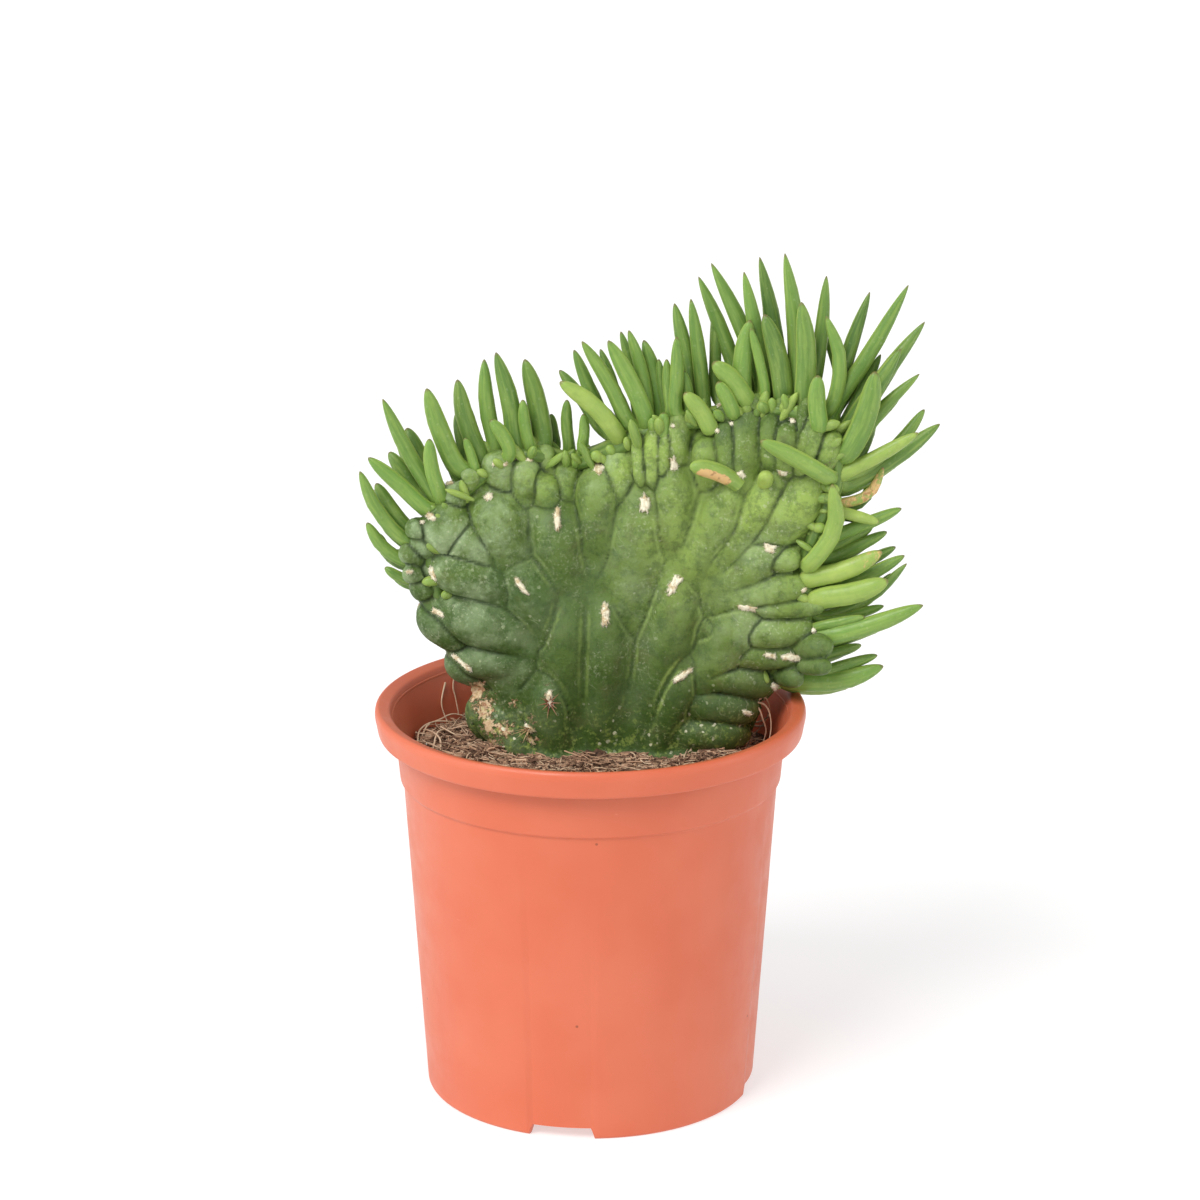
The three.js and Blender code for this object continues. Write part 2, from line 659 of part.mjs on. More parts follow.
// A leaf's path starts inside the crest's strip, leaves it at the base and bends to the tip
function leaf(strip, [tipX, tipZ, baseX, baseZ, width, bow, row], clearance) {
  const baseY = middleDepth(baseX, baseZ) + row * ROW_DEPTH;
  const length = Math.hypot(tipX - baseX, tipZ - baseZ);
  const base = sight(baseX, baseZ, baseY);
  const tip = sight(tipX, tipZ, baseY + row * ROW_LEAN * length);
  const anchor = anchorOf(strip, baseX, baseZ);
  if (anchor.distanceTo(base) < NECK) anchor.lerpVectors(base, tip, -NECK / length);
  const middle = bowed(base, tip, bow).getPoint(0.5);
  tip.lerpVectors(base, tip, 1 + (2 * clearance) / length);
  const path = new THREE.CatmullRomCurve3([anchor, base, middle, tip], false, "centripetal");
  return limb(path, LEAF_PROFILE, width / 2 + clearance, LEAF_SIDES, LEAF_FLATNESS);
}

// Behind each front leaf stands a shorter one, on the rear side of the crest
function rearLeaf(row, index) {
  const draw = drawer(REAR_SEED + 101 * index);
  const [tipX, tipZ, baseX, baseZ, width, bow, place] = row;
  const share = 0.68 + 0.2 * draw();
  const shift = 2.4 * (draw() - 0.5);
  return [
    baseX + (tipX - baseX) * share,
    baseZ + (tipZ - baseZ) * share,
    baseX + shift,
    baseZ - 1,
    width * (0.9 + 0.15 * draw()),
    bow,
    Math.max(1.1, 1.3 - 0.3 * place + 0.4 * draw()),
  ];
}

function spray(node, clearance) {
  const strip = crestStretch(node);
  const front = LEAVES[node];
  const rear = front.filter((row, i) => i % 2 === 0 && row[6] < 0.5).map(rearLeaf);
  const blades = [...front, ...rear].map((row) => leaf(strip, row, clearance));
  return fuse([crestCore(node, strip, clearance), ...blades]);
}

function faceLeaf() {
  const [tipX, tipZ, baseX, baseZ, width, bow, row] = FACE_LEAF;
  const front = (x, z) => middleDepth(x, z) - halfThickness(x, z);
  const base = sight(baseX, baseZ, front(baseX, baseZ) - row);
  const tip = sight(tipX, tipZ, front(tipX, tipZ) + row);
  return limb(bowed(base, tip, bow), LEAF_PROFILE, width / 2, LEAF_SIDES, LEAF_FLATNESS);
}

// The plain part of the foot that stands in the soil, also used to cut the soil's hole
function stemFoot(clearance) {
  const sides = 28;
  const centreX = (STEM_FOOT_LEFT + STEM_FOOT_RIGHT) / 2;
  const centreY = middleDepth(centreX, STEM_FOOT_Z);
  const halfX = (STEM_FOOT_RIGHT - STEM_FOOT_LEFT) / 2 + clearance;
  const halfY = BASE_HALF_THICKNESS + clearance;
  const outline = [];
  for (let i = 0; i < sides; i++) {
    const angle = (i / sides) * 2 * Math.PI;
    outline.push(new THREE.Vector2(halfX * Math.cos(angle), halfY * Math.sin(angle)));
  }
  const depth = 16 + clearance;
  return solid(
    new THREE.ExtrudeGeometry(new THREE.Shape(outline), { depth, bevelEnabled: false }).translate(
      centreX,
      centreY,
      STEM_FOOT_Z - clearance,
    ),
  );
}

function makeSoil() {
  return mainBody(soilBlock(0, GAP).subtract(stemFoot(GAP)));
}

function makeStem(sprays) {
  const front = TUBERCLES.map((row) => tubercle(swollen(row), -1, TUBERCLE_SIDES));
  const rear = TUBERCLES.filter((row) => row[4] > REAR_SMALLEST).map((row, i) =>
    tubercle(rearTubercle(row, i), 1, REAR_TUBERCLE_SIDES),
  );
  const above = fuse([fanCore(), ...front, ...rear, faceLeaf()]).subtract(soilBlock(GAP, 0));
  const whole = above.add(stemFoot(0).intersect(soilBlock(0.5, 0)));
  return mainBody(whole.subtract(sprays));
}

const plant = new THREE.Group();
plant.name = "potted_crested_cactus";
plant.add(meshOf("pot", makePot(), TERRACOTTA, 0.42));
plant.add(meshOf("soil", makeSoil(), PEAT, 0.95));

const nodes = Object.keys(LEAVES);
const grown = nodes.map((node) => spray(node, GAP));
plant.add(meshOf("stem", makeStem(fuse(grown)), GREEN_STEM, 0.55));
nodes.forEach((node, i) => {
  const whole = spray(node, 0);
  const clear = i === 0 ? whole : whole.subtract(fuse(grown.slice(0, i)));
  plant.add(meshOf(node, mainBody(clear), GREEN_LEAF, 0.5));
});

export default plant;
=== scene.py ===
"""Dresses the potted crested cactus: waxy stem, fleshy leaves, felted areoles, peat and pot.

The plant is a crest: a fan-shaped stem whose growing edge carries the leaves. Places on it are
read in a front view from EYE, in millimetres, and carried along the line of sight to their depth.
"""
import math

import bpy
import numpy as np
from bpy.props import FloatProperty, FloatVectorProperty, IntProperty, PointerProperty
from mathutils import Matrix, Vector, noise
from mathutils.bvhtree import BVHTree


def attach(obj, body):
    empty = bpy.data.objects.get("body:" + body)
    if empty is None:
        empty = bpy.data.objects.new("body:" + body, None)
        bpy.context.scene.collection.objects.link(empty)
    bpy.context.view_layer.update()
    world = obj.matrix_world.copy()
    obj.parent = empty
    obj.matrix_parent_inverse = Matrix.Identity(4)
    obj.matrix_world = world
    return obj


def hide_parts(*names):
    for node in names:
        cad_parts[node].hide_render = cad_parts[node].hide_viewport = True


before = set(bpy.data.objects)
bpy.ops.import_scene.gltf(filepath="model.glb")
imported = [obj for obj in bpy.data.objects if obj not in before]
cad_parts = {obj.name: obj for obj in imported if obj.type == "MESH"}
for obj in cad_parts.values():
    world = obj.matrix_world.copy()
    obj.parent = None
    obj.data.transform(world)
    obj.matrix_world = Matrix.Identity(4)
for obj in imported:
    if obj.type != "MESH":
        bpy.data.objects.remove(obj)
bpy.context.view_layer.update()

MM = 0.001

bl_info = {
    "name": "Potted crested cactus",
    "version": (1, 0, 0),
    "blender": (4, 5, 0),
    "location": "View3D > Sidebar > Cactus",
    "description": "Builds the skin, leaves, felt, peat and pot of a crested cactus",
    "category": "Object",
}

# The front view: its eye, and how far it looks down
EYE = np.array([2.35, -955.4, 413.7])
LOOK_DOWN = math.radians(16.83)
LENS_MM = 122.8
SENSOR_MM = 36

# Stem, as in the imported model, in millimetres
STEM_FOOT_Z = 77
STEM_FOOT_LEFT = -24
STEM_FOOT_RIGHT = 37
BASE_HALF_THICKNESS = 14
THINNING = 0.065
EDGE_ROUNDING = 15
CORE_SINK = 3.4
THINNEST_CORE = 0.8
CREST_FACE = 5.5
TUBERCLE_SWELL = 1.14
REAR_SWELL = 1.32
TUBERCLE_DEPTH = 0.46
TIP_RELIEF = 0.1
ROOT_RELIEF = -0.16
REAR_SMALLEST = 8.2
TUBERCLE_SPANS = 4
REAR_SEED = 11

# Growing edge and leaves
CREST_HEIGHT = 2.4
CREST_DROP = 1.2
CREST_DEPTH = 4
CROWN_DEPTH = 4.6
LEAF_FLATNESS = 0.85
NECK = 2.5
ROW_DEPTH = 4
ROW_LEAN = 0.16

# Seeds of what is drawn at random
SEEDS = {"tones": 5, "leaves": 60, "buds": 400, "rear felt": 91, "axil felt": 17, "spines": 23}

# Soil
SOIL_Z = 85.5
SOIL_RELIEF = 1.1

# Crest outline of the bare fan, from the lower left round to the lower right: x, z
CREST = [
    (-26, 96), (-31, 106), (-36, 116), (-38, 126), (-40, 136), (-38, 146), (-31, 154),
    (-23, 160), (-14, 163), (-6, 161), (3, 163), (12, 168), (21, 171), (30, 172), (40, 174),
    (49, 174), (56, 170), (60, 163), (60, 154), (57, 145), (54, 136), (54, 125), (52, 115),
    (46, 106), (41, 97),
]

# Tubercles of the front: root x, z, tip x, z, width, bow, depth behind the front face
TUBERCLES = [
    # ribs that rise from the soil, left to right
    (-15, 84, -29, 100, 9, 0, 0),
    (-7, 84, -10.5, 104, 9, 0, 0),
    (-6, 88, -6, 126, 10, 0, 0),
    (2, 82, 3.5, 126, 10, 0, 0),
    (9, 84, 22, 133, 10.5, 2, 0),
    (13, 84, 23.5, 109, 9.5, 1, 0),
    (17, 98, 39, 125, 12.5, 3, 0),
    # left lobes that lie on their sides
    (-22, 105, -35.5, 110.5, 7, 0, 7),
    (-28, 112, -41.5, 123, 7.5, 0, 7),
    (-15, 109, -35, 112, 9, -1, 1),
    (-13, 112, -40, 124, 12, 1, 0),
    (-17, 126, -39.5, 133.5, 10.5, 1, 0),
    (-23, 133, -40, 146.5, 11.5, 1, 0),
    (-5, 110, -19.5, 134, 13, 1, 0),
    # left edge
    (-36, 124, -43, 129.5, 6, 0, 1),
    (-38, 129, -45.5, 132, 4.5, 0, 1),
    (-38, 134, -46, 137.5, 5.5, 0, 1),
    (-36, 136, -43, 139.5, 5.5, 0, 0),
    (-38, 140, -44, 144, 5.5, 0, 0),
    # ovals below the left crest
    (-17, 128, -25.4, 152.2, 12.4, 0, 0),
    (-32.5, 146, -33, 154.2, 6.5, 0, 0),
    (-29.5, 152.5, -28.8, 157.7, 4.6, 0, 0),
    (-22.5, 151.5, -22, 162.3, 7.6, 0, 0),
    (-15.3, 150.5, -15.8, 160.6, 6.2, 0, 0),
    (-8, 145, -12, 155.8, 6.6, 0, 0),
    (-9.5, 153, -11.3, 163.9, 5.3, 0, 1),
    (-7, 147, -5.4, 162, 7.2, 0, 0),
    (-6, 122, -8.7, 150.8, 13, 0, 0),
    (2.5, 133, 2.2, 158.8, 11, 0, 0),
    (9.3, 146, 5.8, 163.8, 8.4, 0, 1),
    # centre and the diagonal ribs to the right
    (7, 116, 13.5, 154, 13.5, 0, 0),
    (12.2, 152.5, 11.2, 167.7, 3.2, 0, 0),
    (15, 152.5, 15.2, 168.7, 4.4, 0, 0),
    (17.9, 155, 18.2, 167, 3.2, 0, 0),
    (19.2, 138, 20.4, 158.8, 9, 0, 0),
    (20, 156, 21.5, 172, 5.6, 0, 0),
    (19, 126, 35.2, 156, 11, 1.5, 0),
    (25, 130, 45.5, 157.5, 9.5, 2, 0),
    (34, 134, 55, 157, 11, 2, 0),
    # upper right, below the crown
    (29, 154, 27.5, 166, 6, 0, 0),
    (33, 154, 32, 170, 5.5, 0, 0),
    (36, 150, 38, 173.5, 9, 0, 0),
    (33.5, 166, 32.5, 174, 5.5, 0, 0),
    (44, 157, 43, 172, 5, 0, 0),
    (47, 156, 47.5, 169, 5.5, 0, 0),
    (50.5, 156, 54.8, 171, 6, 0, 0),
    (54, 154, 59.5, 167, 6, 0, 0),
    (47, 166, 47, 177, 5.5, 0, 1),
    (51, 166, 52.3, 175.5, 4, 0, 0),
    (40, 168, 40, 176.5, 5.5, 0, 0),
    # right side, fanning out towards the viewer
    (27, 128, 45.5, 139, 10, 1.5, 0),
    (42, 134, 51.5, 135.5, 5.5, 0, 0),
    (28, 124.5, 53.5, 129.3, 7.5, 0.5, 0),
    (39, 122.6, 57, 122.9, 5, 0, 0),
    (27, 116.5, 54.8, 117.8, 7.4, 0.8, 0),
    (48.5, 112.4, 58.8, 113, 6.2, 0, 0),
    (25, 109.5, 51.5, 110, 7, -1.2, 0),
    (51, 107.5, 59, 107.8, 4.2, 0, 0),
    (43.5, 106.3, 52, 104.3, 5, 0, 0),
    (22, 103.2, 45, 101.7, 8.8, -2.9, 0),
    (21.5, 98.2, 41, 96, 8.8, -0.6, 0),
    (20, 90.5, 39, 90, 7.5, 0, 0),
]

# Leaves that the front view shows: tip x, z, base x, z, width, bow, row (-1 front, 1 rear)
LEAVES = {
    "leaves_left": [
        (-50, 133, -43, 129.5, 2.6, -0.6, 0),
        (-54.2, 144.3, -44, 134.5, 3.2, -1.8, 0),
        (-48, 137.2, -43, 134.5, 2.4, 0, 0.6),
        (-55.7, 157.2, -43.5, 139.5, 3.4, -2.2, -0.4),
        (-51.8, 154.2, -43, 142, 3.9, -1, 0.3),
        (-53.6, 160.6, -39, 147.5, 3.9, 0, -0.5),
        (-48.5, 162, -42, 152, 3.6, 0, 0.7),
        (-49.9, 175.2, -37.5, 151, 3.7, -0.8, -0.2),
        (-44.2, 168, -37, 152, 5, -0.6, 0.9),
        (-38.8, 165.3, -36.4, 151.5, 3.5, -0.8, -0.9),
        (-39.3, 177.8, -31.5, 158, 4.6, -0.9, -0.3),
        (-36, 163.5, -32, 155.5, 2.2, 0, 0.2),
        (-32, 172, -29.5, 160, 3.2, -0.3, 1),
        (-30.2, 165.5, -27.3, 157, 2.3, 0, -0.6),
        (-31.9, 180, -26, 159.5, 4.4, -1, 0.2),
        (-25.4, 185, -23, 161.5, 3.8, -0.7, 0.4),
        (-24, 170, -19.5, 161.5, 3.4, 0.8, -1),
    ],
    "leaves_middle": [
        (-22.6, 186.7, -17, 162, 4.4, 0.6, 0),
        (-16.2, 175, -14.2, 162.5, 2.9, -0.6, -0.5),
        (-17.2, 174, -17.5, 163, 3.2, 0, 0.9),
        (-15.7, 185, -11.5, 164, 4.7, 0.7, 0.2),
        (-9.4, 171.5, -8.5, 163, 2.6, 0, 0.9),
        (-5.6, 175, -5.2, 163, 2.8, -0.3, -0.2),
        (-7.4, 182.3, 2.5, 168, 3.1, 0.4, 0.8),
        (-7.3, 179.4, 6.2, 166.8, 4.5, 1.2, -1),
        (-1.6, 171.5, -1.8, 162.5, 2.6, 0.3, -0.8),
        (-3.9, 187.3, 3.5, 168, 3.2, 0, 0.3),
        (-2, 189.4, 9.8, 168.8, 3.6, 0.6, -0.5),
        (2.4, 187.5, 8, 170, 2.6, 0.3, 0.9),
        (4.3, 189.6, 13.6, 169.8, 4.2, 0.6, -0.6),
        (7.3, 191.8, 12.5, 172, 2.7, 0.3, 0.4),
        (9.2, 192.1, 13.8, 171, 3.2, 0.9, 0),
        (12.8, 189.7, 16.6, 170.5, 3.7, 0.9, 0.4),
        (16.4, 185, 18, 171, 2.4, 0, 0.2),
        (18.3, 185, 19, 171, 2.6, 0, -0.5),
        (17.7, 171.8, 17.6, 166, 3, 0, -0.9),
    ],
    "leaves_crown": [
        (20.7, 190.5, 21, 171.5, 3.2, 0, -0.7),
        (20.1, 198.7, 24, 174, 3.8, 0.7, 0.5),
        (24, 199.8, 27.4, 173, 3.5, 0.3, 0.2),
        (22.4, 182.2, 24.6, 171, 2.7, 0, -0.4),
        (22.6, 176.7, 29, 167.5, 4.1, 0.7, -1.2),
        (25.8, 205.2, 36.5, 178, 3.6, 0.4, 0.8),
        (29.7, 198, 30.3, 176, 2.8, 0, 0.9),
        (28.8, 208.5, 41.5, 178, 4, 0.8, 0.5),
        (29.4, 184.2, 37.5, 175, 4.7, 0.7, -0.9),
        (30.6, 179.4, 34.5, 171.5, 3.6, 0.2, -1.2),
        (36.6, 206.4, 42, 177, 3.7, 0.3, 0),
        (38.2, 194.6, 36.8, 176, 4.6, -0.9, -0.5),
        (38.4, 192.6, 42, 176, 2.4, 0.4, -0.8),
        (40.3, 210, 45.8, 176, 4, 0.8, 0.6),
        (41.6, 196, 46.4, 176, 4.8, 0.8, -0.4),
        (46.3, 210.9, 49, 176, 4.1, 1.4, 0.2),
        (50.4, 199, 51.5, 175, 4.8, 0.8, -0.3),
        (56.3, 205.4, 53.6, 178, 3.3, 0.4, 0.8),
        (54.6, 181, 55, 168, 4.2, -0.4, -1.1),
        (56.4, 195.6, 57, 172, 3.4, 3.2, 0),
    ],
    "leaves_right": [
        (66.7, 201.5, 58.5, 172, 3.6, -0.6, 0.7),
        (75.9, 203.2, 57.5, 170, 3.8, 0.3, 0.3),
        (69.6, 186.2, 60, 166, 3, 0, 0.7),
        (80, 194.2, 62, 168, 3.9, -0.4, 0.5),
        (74.4, 187.6, 62, 164, 4, -0.6, 0.1),
        (68.4, 182, 62, 162, 5.4, 1.3, -0.6),
        (79, 181.4, 61.5, 160, 3.2, -1.4, 0.3),
        (80.4, 172.6, 68, 158.5, 3, 1, 0.8),
        (84.2, 169, 62, 154, 4.2, 1, 0.6),
        (79, 166.8, 60, 156, 3.4, 0.3, -0.4),
        (41, 164.8, 57, 156, 4.2, 0.3, -1.5),
        (70.8, 158.4, 60, 149, 3, 3, 0.2),
        (75.4, 147.9, 58, 141, 3.2, 0.4, 0.2),
        (70, 144.4, 59, 147.5, 2.8, 0, -0.2),
        (58.5, 154, 53, 133.5, 4.2, 3.6, -1.2),
        (72, 142, 57, 135, 3, 0.3, 0.5),
        (68.5, 143.5, 58, 138, 3.6, 0, 0.8),
        (70.9, 137, 53, 130, 4.8, 1.2, -0.8),
        (74.2, 138.2, 58, 131, 3, 0.6, 0.8),
        (76.4, 136, 58, 127.5, 3.4, 0.8, 0.4),
        (72.5, 129.6, 56, 125, 5.2, 0.8, -0.8),
        (77, 134, 57, 120.5, 2.8, 2.2, 0.2),
        (71.6, 123.2, 57, 119.5, 2.6, 0.4, 0),
        (67, 120.4, 56, 118, 2.4, 0, -0.7),
        (81.2, 123.4, 57.5, 115.5, 4.4, 0.8, -0.5),
        (66.3, 113.2, 54, 110, 2.8, 0.3, 0.7),
        (70.3, 110.6, 55, 106.5, 2.8, 0.4, 0),
        (71.8, 107.8, 50.5, 104, 4.8, 1.8, -0.6),
    ],
}

# Stretches of the crest that carry the leaves, as shares of the crest outline's length
CREST_STRETCHES = {
    "leaves_left": (0.125, 0.325),
    "leaves_middle": (0.33, 0.505),
    "leaves_crown": (0.51, 0.675),
    "leaves_right": (0.68, 0.99),
}

# How crowded the buds in front of the crest are, and where on the outline they end
FRONT_BUDS = {"leaves_left": 0.2, "leaves_middle": 0.4, "leaves_crown": 0.65, "leaves_right": 0.5}
LAST_FRONT_BUD = 0.8

# The leaf that grows on the front face, away from the crest, and a young bud beside it
FACE_LEAF = (24, 158.4, 36, 153.8, 4.4, 1.1, -2)
FACE_BUD = (42.6, 156.6, 42, 153.4, 3.8, 0, -3)

# Leaves that stand out: how pale (towards yellow-green) and how withered each is, from 0 to 1
LEAF_MARKS = {
    ("leaves_middle", 7): (0.75, 0.12),
    ("leaves_crown", 4): (0.55, 0),
    ("leaves_crown", 8): (0.3, 0),
    ("leaves_right", 9): (0.7, 0),
    ("leaves_right", 10): (0.25, 0),
    ("leaves_right", 11): (0.6, 0.5),
    ("leaves_right", 13): (0.9, 0),
    ("leaves_right", 14): (0.45, 0),
    ("leaves_right", 17): (0.8, 0.1),
    ("leaves_right", 20): (0.6, 0),
}

# The leaf whose end alone is dry, and leaves of the front that are darker than their row
WITHERED_TIP = ("leaves_right", 17)
DARK_LEAVES = {("leaves_right", 5), ("leaves_right", 10), ("leaves_crown", 16), ("leaves_crown", 14)}

# Areoles on the front, as felt strips read on the plane y = AREOLE_PLANE: from x, z to x, z, width
AREOLE_PLANE = -4
AREOLES = [
    (-40, 147.6, -37, 146.2, 1.7), (-41, 145.8, -40, 145.1, 0.9), (-38.9, 134.2, -37.4, 130.8, 1.9),
    (-39, 124, -35, 121.4, 1.3), (-34.5, 112.6, -28.4, 107.7, 1.2), (-34.8, 155.4, -32.8, 155, 0.9),
    (-25.4, 152.7, -23.4, 151, 2.2), (-18.2, 161.9, -14.8, 161.2, 1.7), (-8, 163.9, -5, 163.7, 1.6),
    (-8, 149.6, -7.9, 143, 1.5), (-18.6, 132.2, -15.3, 127.3, 1.4),
    (0, 159.9, 4, 157.9, 2.6), (3.5, 125.6, 3.5, 119, 2), (13, 152.6, 13, 147.4, 2.3),
    (20, 162.2, 20.3, 157, 2.1), (21.8, 132.6, 18.9, 127, 2.2), (25, 108.6, 20.4, 104.9, 1.6),
    (35.8, 124.6, 41.2, 123.3, 1.9), (41.7, 139.3, 45, 138.7, 2.1), (42, 112.1, 46, 111.4, 1.4),
    (46.8, 111.8, 52.2, 110.7, 1.9), (43.4, 104.9, 46.6, 102.9, 1.8), (53.8, 119.6, 55.2, 117.3, 1.7),
    (35.6, 158.3, 37.3, 156.7, 1.7), (45, 158.3, 47.6, 157.5, 1.4), (48.5, 172.2, 48.6, 169.7, 1.7),
    (29.5, 168.6, 31.3, 168.2, 1), (34.4, 173.6, 36.1, 173.2, 0.9), (56.2, 157.9, 58.1, 155.4, 1.9),
    (61.3, 162.8, 61.7, 161.1, 1), (-10.2, 102.6, -9.8, 98.4, 1.8), (-16.2, 94.2, -13.8, 91.8, 1.8),
    (36.6, 97.6, 39.8, 96.6, 1.3), (41.5, 98, 44, 95.6, 2.4),
]

# Corky patches on the front of the stem: x, z, half width, half height, strength
CORK = [
    (-28, 101, 2.4, 3, 1), (-26, 97, 3, 3.2, 1), (-21.5, 91.5, 4, 2.8, 0.8), (44, 98, 3, 2.6, 0.8),
    (-14.6, 93, 2.2, 3, 0.6), (-10, 100.4, 1.6, 3.2, 0.5), (57, 157, 2, 2.2, 0.6),
    (-25, 92.5, 2.2, 3.4, 0.9), (-19, 98, 2.4, 1.8, 0.55), (-14.5, 88.5, 3, 1.8, 0.7),
    (-24, 88, 3, 1.6, 0.8),
]

# Where the front's skin is lighter than its age says, and where painted shade makes it darker: near the
# soil, under the left lobes and below the crown's leaves. Each: x, z, half width, half height, and a
# strength where it isn't 1
LIGHT_SPOTS = [
    (21, 138, 9, 18, 1.4), (38, 147, 12, 8, 0.9), (52, 142, 8, 12), (12, 160, 14, 8),
    (-14, 157, 15, 7, 0.8), (34, 106, 9, 5, 0.5), (9, 126, 7, 12, 0.5), (40, 120, 10, 8, 0.42),
]
SHADE_SPOTS = [(-29, 112, 13, 9), (0, 92, 30, 9), (33, 95, 10, 7), (-22, 120, 10, 8), (42, 170, 20, 9, 1.7)]

# Where the ribs wear a grey bloom, away from the left lobes
BLOOM_SPOTS = [(9, 126, 7, 12, 0.3), (41, 119, 11, 10, 0.32), (41, 137, 10, 6, 0.3)]

# Spines: areole x, z on the felt's plane, number, length, half spread, whether dark red
SPINES = [(-10, 99.6, 10, 3.6, 1.2, 1), (-15, 93, 8, 4.6, 0.75, 0), (-27, 99, 4, 3, 0.9, 0)]

# Thin roots at the surface and on the pot's wall, as x, y, z points
ROOTS = [
    [(-36.8, 30, 93.8), (-37.3, 28.6, 92), (-37.7, 27, 89.5), (-37.3, 26.6, 87.3), (-36.2, 25.6, 84.8)],
    [(-34.7, 32.6, 94.3), (-34.9, 31.3, 92), (-34.4, 31, 90), (-33.5, 29.8, 85.4)],
    [(40.5, 3.5, 97.4), (42.6, 4, 96.7), (43.8, 4, 95.4), (44.5, 4, 93), (44.6, 4, 90), (43.6, 3, 85)],
    [(39.5, 4, 98), (41.6, 2.5, 95.8), (42.6, 3, 92.8), (43.4, 4, 90), (42.4, 5, 85)],
    [(39.8, 5, 96.2), (43, 7, 97.4), (44.4, 9, 94), (44, 11, 91), (42.5, 13.5, 87.5), (40.5, 15, 84.5)],
    [(44.4, 7, 92.6), (43.6, 12.5, 90), (41.5, 17.5, 87.4), (38, 22, 86), (34, 24, 84.5)],
    [(43.4, 9.5, 89.2), (41.6, 14.5, 87.4), (38.8, 18.5, 86.6), (35, 19, 84.8)],
    [(30, -20, 85), (35, -19, 88), (40, -15, 88.6), (43.6, -9, 87), (43.4, -4, 84.6)],
    [(-42.4, 11, 84.6), (-41, 16, 86.8), (-38, 22, 86.6), (-34.5, 26, 86.8), (-30, 28, 84.6)],
    [(-39, 5, 84.6), (-38, 11, 87), (-35, 15.5, 86.3), (-32.5, 14.5, 87.2), (-29.5, 18, 84.8)],
    [(-37, 1, 84.8), (-37.4, 7, 86.6), (-39.6, 11.5, 87), (-41.8, 15, 86.2), (-42, 17, 84.6)],
    [(-36, 20, 84.8), (-37.5, 16, 86.8), (-35.5, 12, 87), (-33, 10.5, 86.2), (-30, 12, 84.8)],
    [(-43, 8, 84.8), (-42.6, 14, 86.6), (-39.4, 18.5, 87.2), (-35.5, 20.5, 86.6), (-33, 24, 84.8)],
    [(-38, -12, 84.6), (-34, -17, 87.4), (-29, -20, 87), (-25, -24, 84.8)],
    [(5, -30, 86.6), (11, -31.5, 87.8), (17, -29, 87.4), (22, -30.5, 86.4)],
]


def linear(hex_colour):
    """An sRGB hex colour as linear red, green, blue and alpha."""
    channels = [int(hex_colour[i:i + 2], 16) / 255 for i in (1, 3, 5)]
    return (*[c / 12.92 if c <= 0.04045 else ((c + 0.055) / 1.055) ** 2.4 for c in channels], 1.0)


def colour_property(name, description, hex_colour):
    return FloatVectorProperty(name=name, description=description, subtype="COLOR", size=4,
                               min=0, max=1, default=linear(hex_colour))


class CactusSizes(bpy.types.PropertyGroup):
    """Sizes of the plant's dress that a user may change."""

    skin_voxel: FloatProperty(
        name="Skin voxel", description="Grid on which the tubercles are fused into one skin",
        default=0.59 * MM, unit="LENGTH", precision=5)
    crease_depth: FloatProperty(
        name="Crease depth", description="How far the line between two tubercles is drawn in",
        default=0.45 * MM, unit="LENGTH", precision=5)
    leaf_swell: FloatProperty(
        name="Leaf swell", description="Leaf thickness against the packed solids",
        default=1.04, subtype="FACTOR", min=0.8, max=1.3)
    hair_length: FloatProperty(
        name="Felt hair", description="Length of the hairs of the areoles' felt",
        default=0.62 * MM, unit="LENGTH", precision=5)
    fibre_length: FloatProperty(
        name="Peat fibre", description="Longest fibre on the soil",
        default=9 * MM, unit="LENGTH", precision=4)
    fibres: IntProperty(
        name="Peat fibres", description="Number of fibres per square metre of soil",
        default=900000, min=0)


class CactusColours(bpy.types.PropertyGroup):
    """Colours of the plant's finishes that a user may change."""

    skin_old: colour_property("Old skin", "Dull green of the lower stem", "#405a22")
    skin_young: colour_property("Young skin", "Yellow-green of the upper stem", "#9bb556")
    # Real darker mottles of the skin, and the painted shade of the hollows
    mottle_and_hollow_shade: colour_property("Shaded skin", "Darker mottles and hollows", "#2d4718")
    # Painted shade in the line between two tubercles
    crease_shade: colour_property("Crease", "Line between two tubercles", "#1c300a")
    bloom: colour_property("Bloom", "Grey wax bloom on raised skin", "#a4b98c")
    fleck: colour_property("Flecks", "Worn pale flecks of the skin", "#c3cba6")
    cork: colour_property("Cork", "Corky scars", "#d6be96")
    leaf: colour_property("Leaf", "Body of a leaf", "#6c9140")
    leaf_pale: colour_property("Pale leaf", "Leaf base and young leaves", "#a4b95c")
    # Also carries the painted shade on the rear rows of leaves
    leaf_dark: colour_property("Dark leaf", "Leaves of full age", "#3d6027")
    leaf_tip: colour_property("Leaf tip", "Dry point of a leaf", "#6b4a38")
    withered: colour_property("Withered", "Dried leaf", "#d6b078")
    felt: colour_property("Felt", "Areole felt", "#f4edd4")
    spine: colour_property("Spine", "Spines", "#c7a87c")
    peat: colour_property("Peat", "Body of the soil", "#6b4e3c")
    fibre: colour_property("Fibre", "Peat fibres", "#c39c7e")
    root: colour_property("Root", "Thin pale roots", "#dcc0a2")
    perlite: colour_property("Perlite", "White grains in the soil", "#ece8de")
    pot: colour_property("Pot", "Terracotta-coloured polypropylene", "#cc6443")
    floor: colour_property("Floor", "Plain pale floor", "#bdbdbd")


# Colours that every such plant and pot shares, beside those that a user may change
DIRT = "#5b5b31"
OLD_CORK = "#a67656"
LIME = "#e6e6c6"
SCORCHED = "#96683c"
OLD_WOOL = "#c2a872"
BROWN_WOOL = "#80562c"
YOUNG_SPINE = "#6e2a1c"
PEAT_GAP_AND_SHADE = "#33231a"
FLOW_MARK = "#f2a081"
SCUFF = "#f4b096"
DUST = "#7a3a26"
FLOOR_SHADE = "#b4b4b4"
WHITE = "#ffffff"


# Helpers for node trees

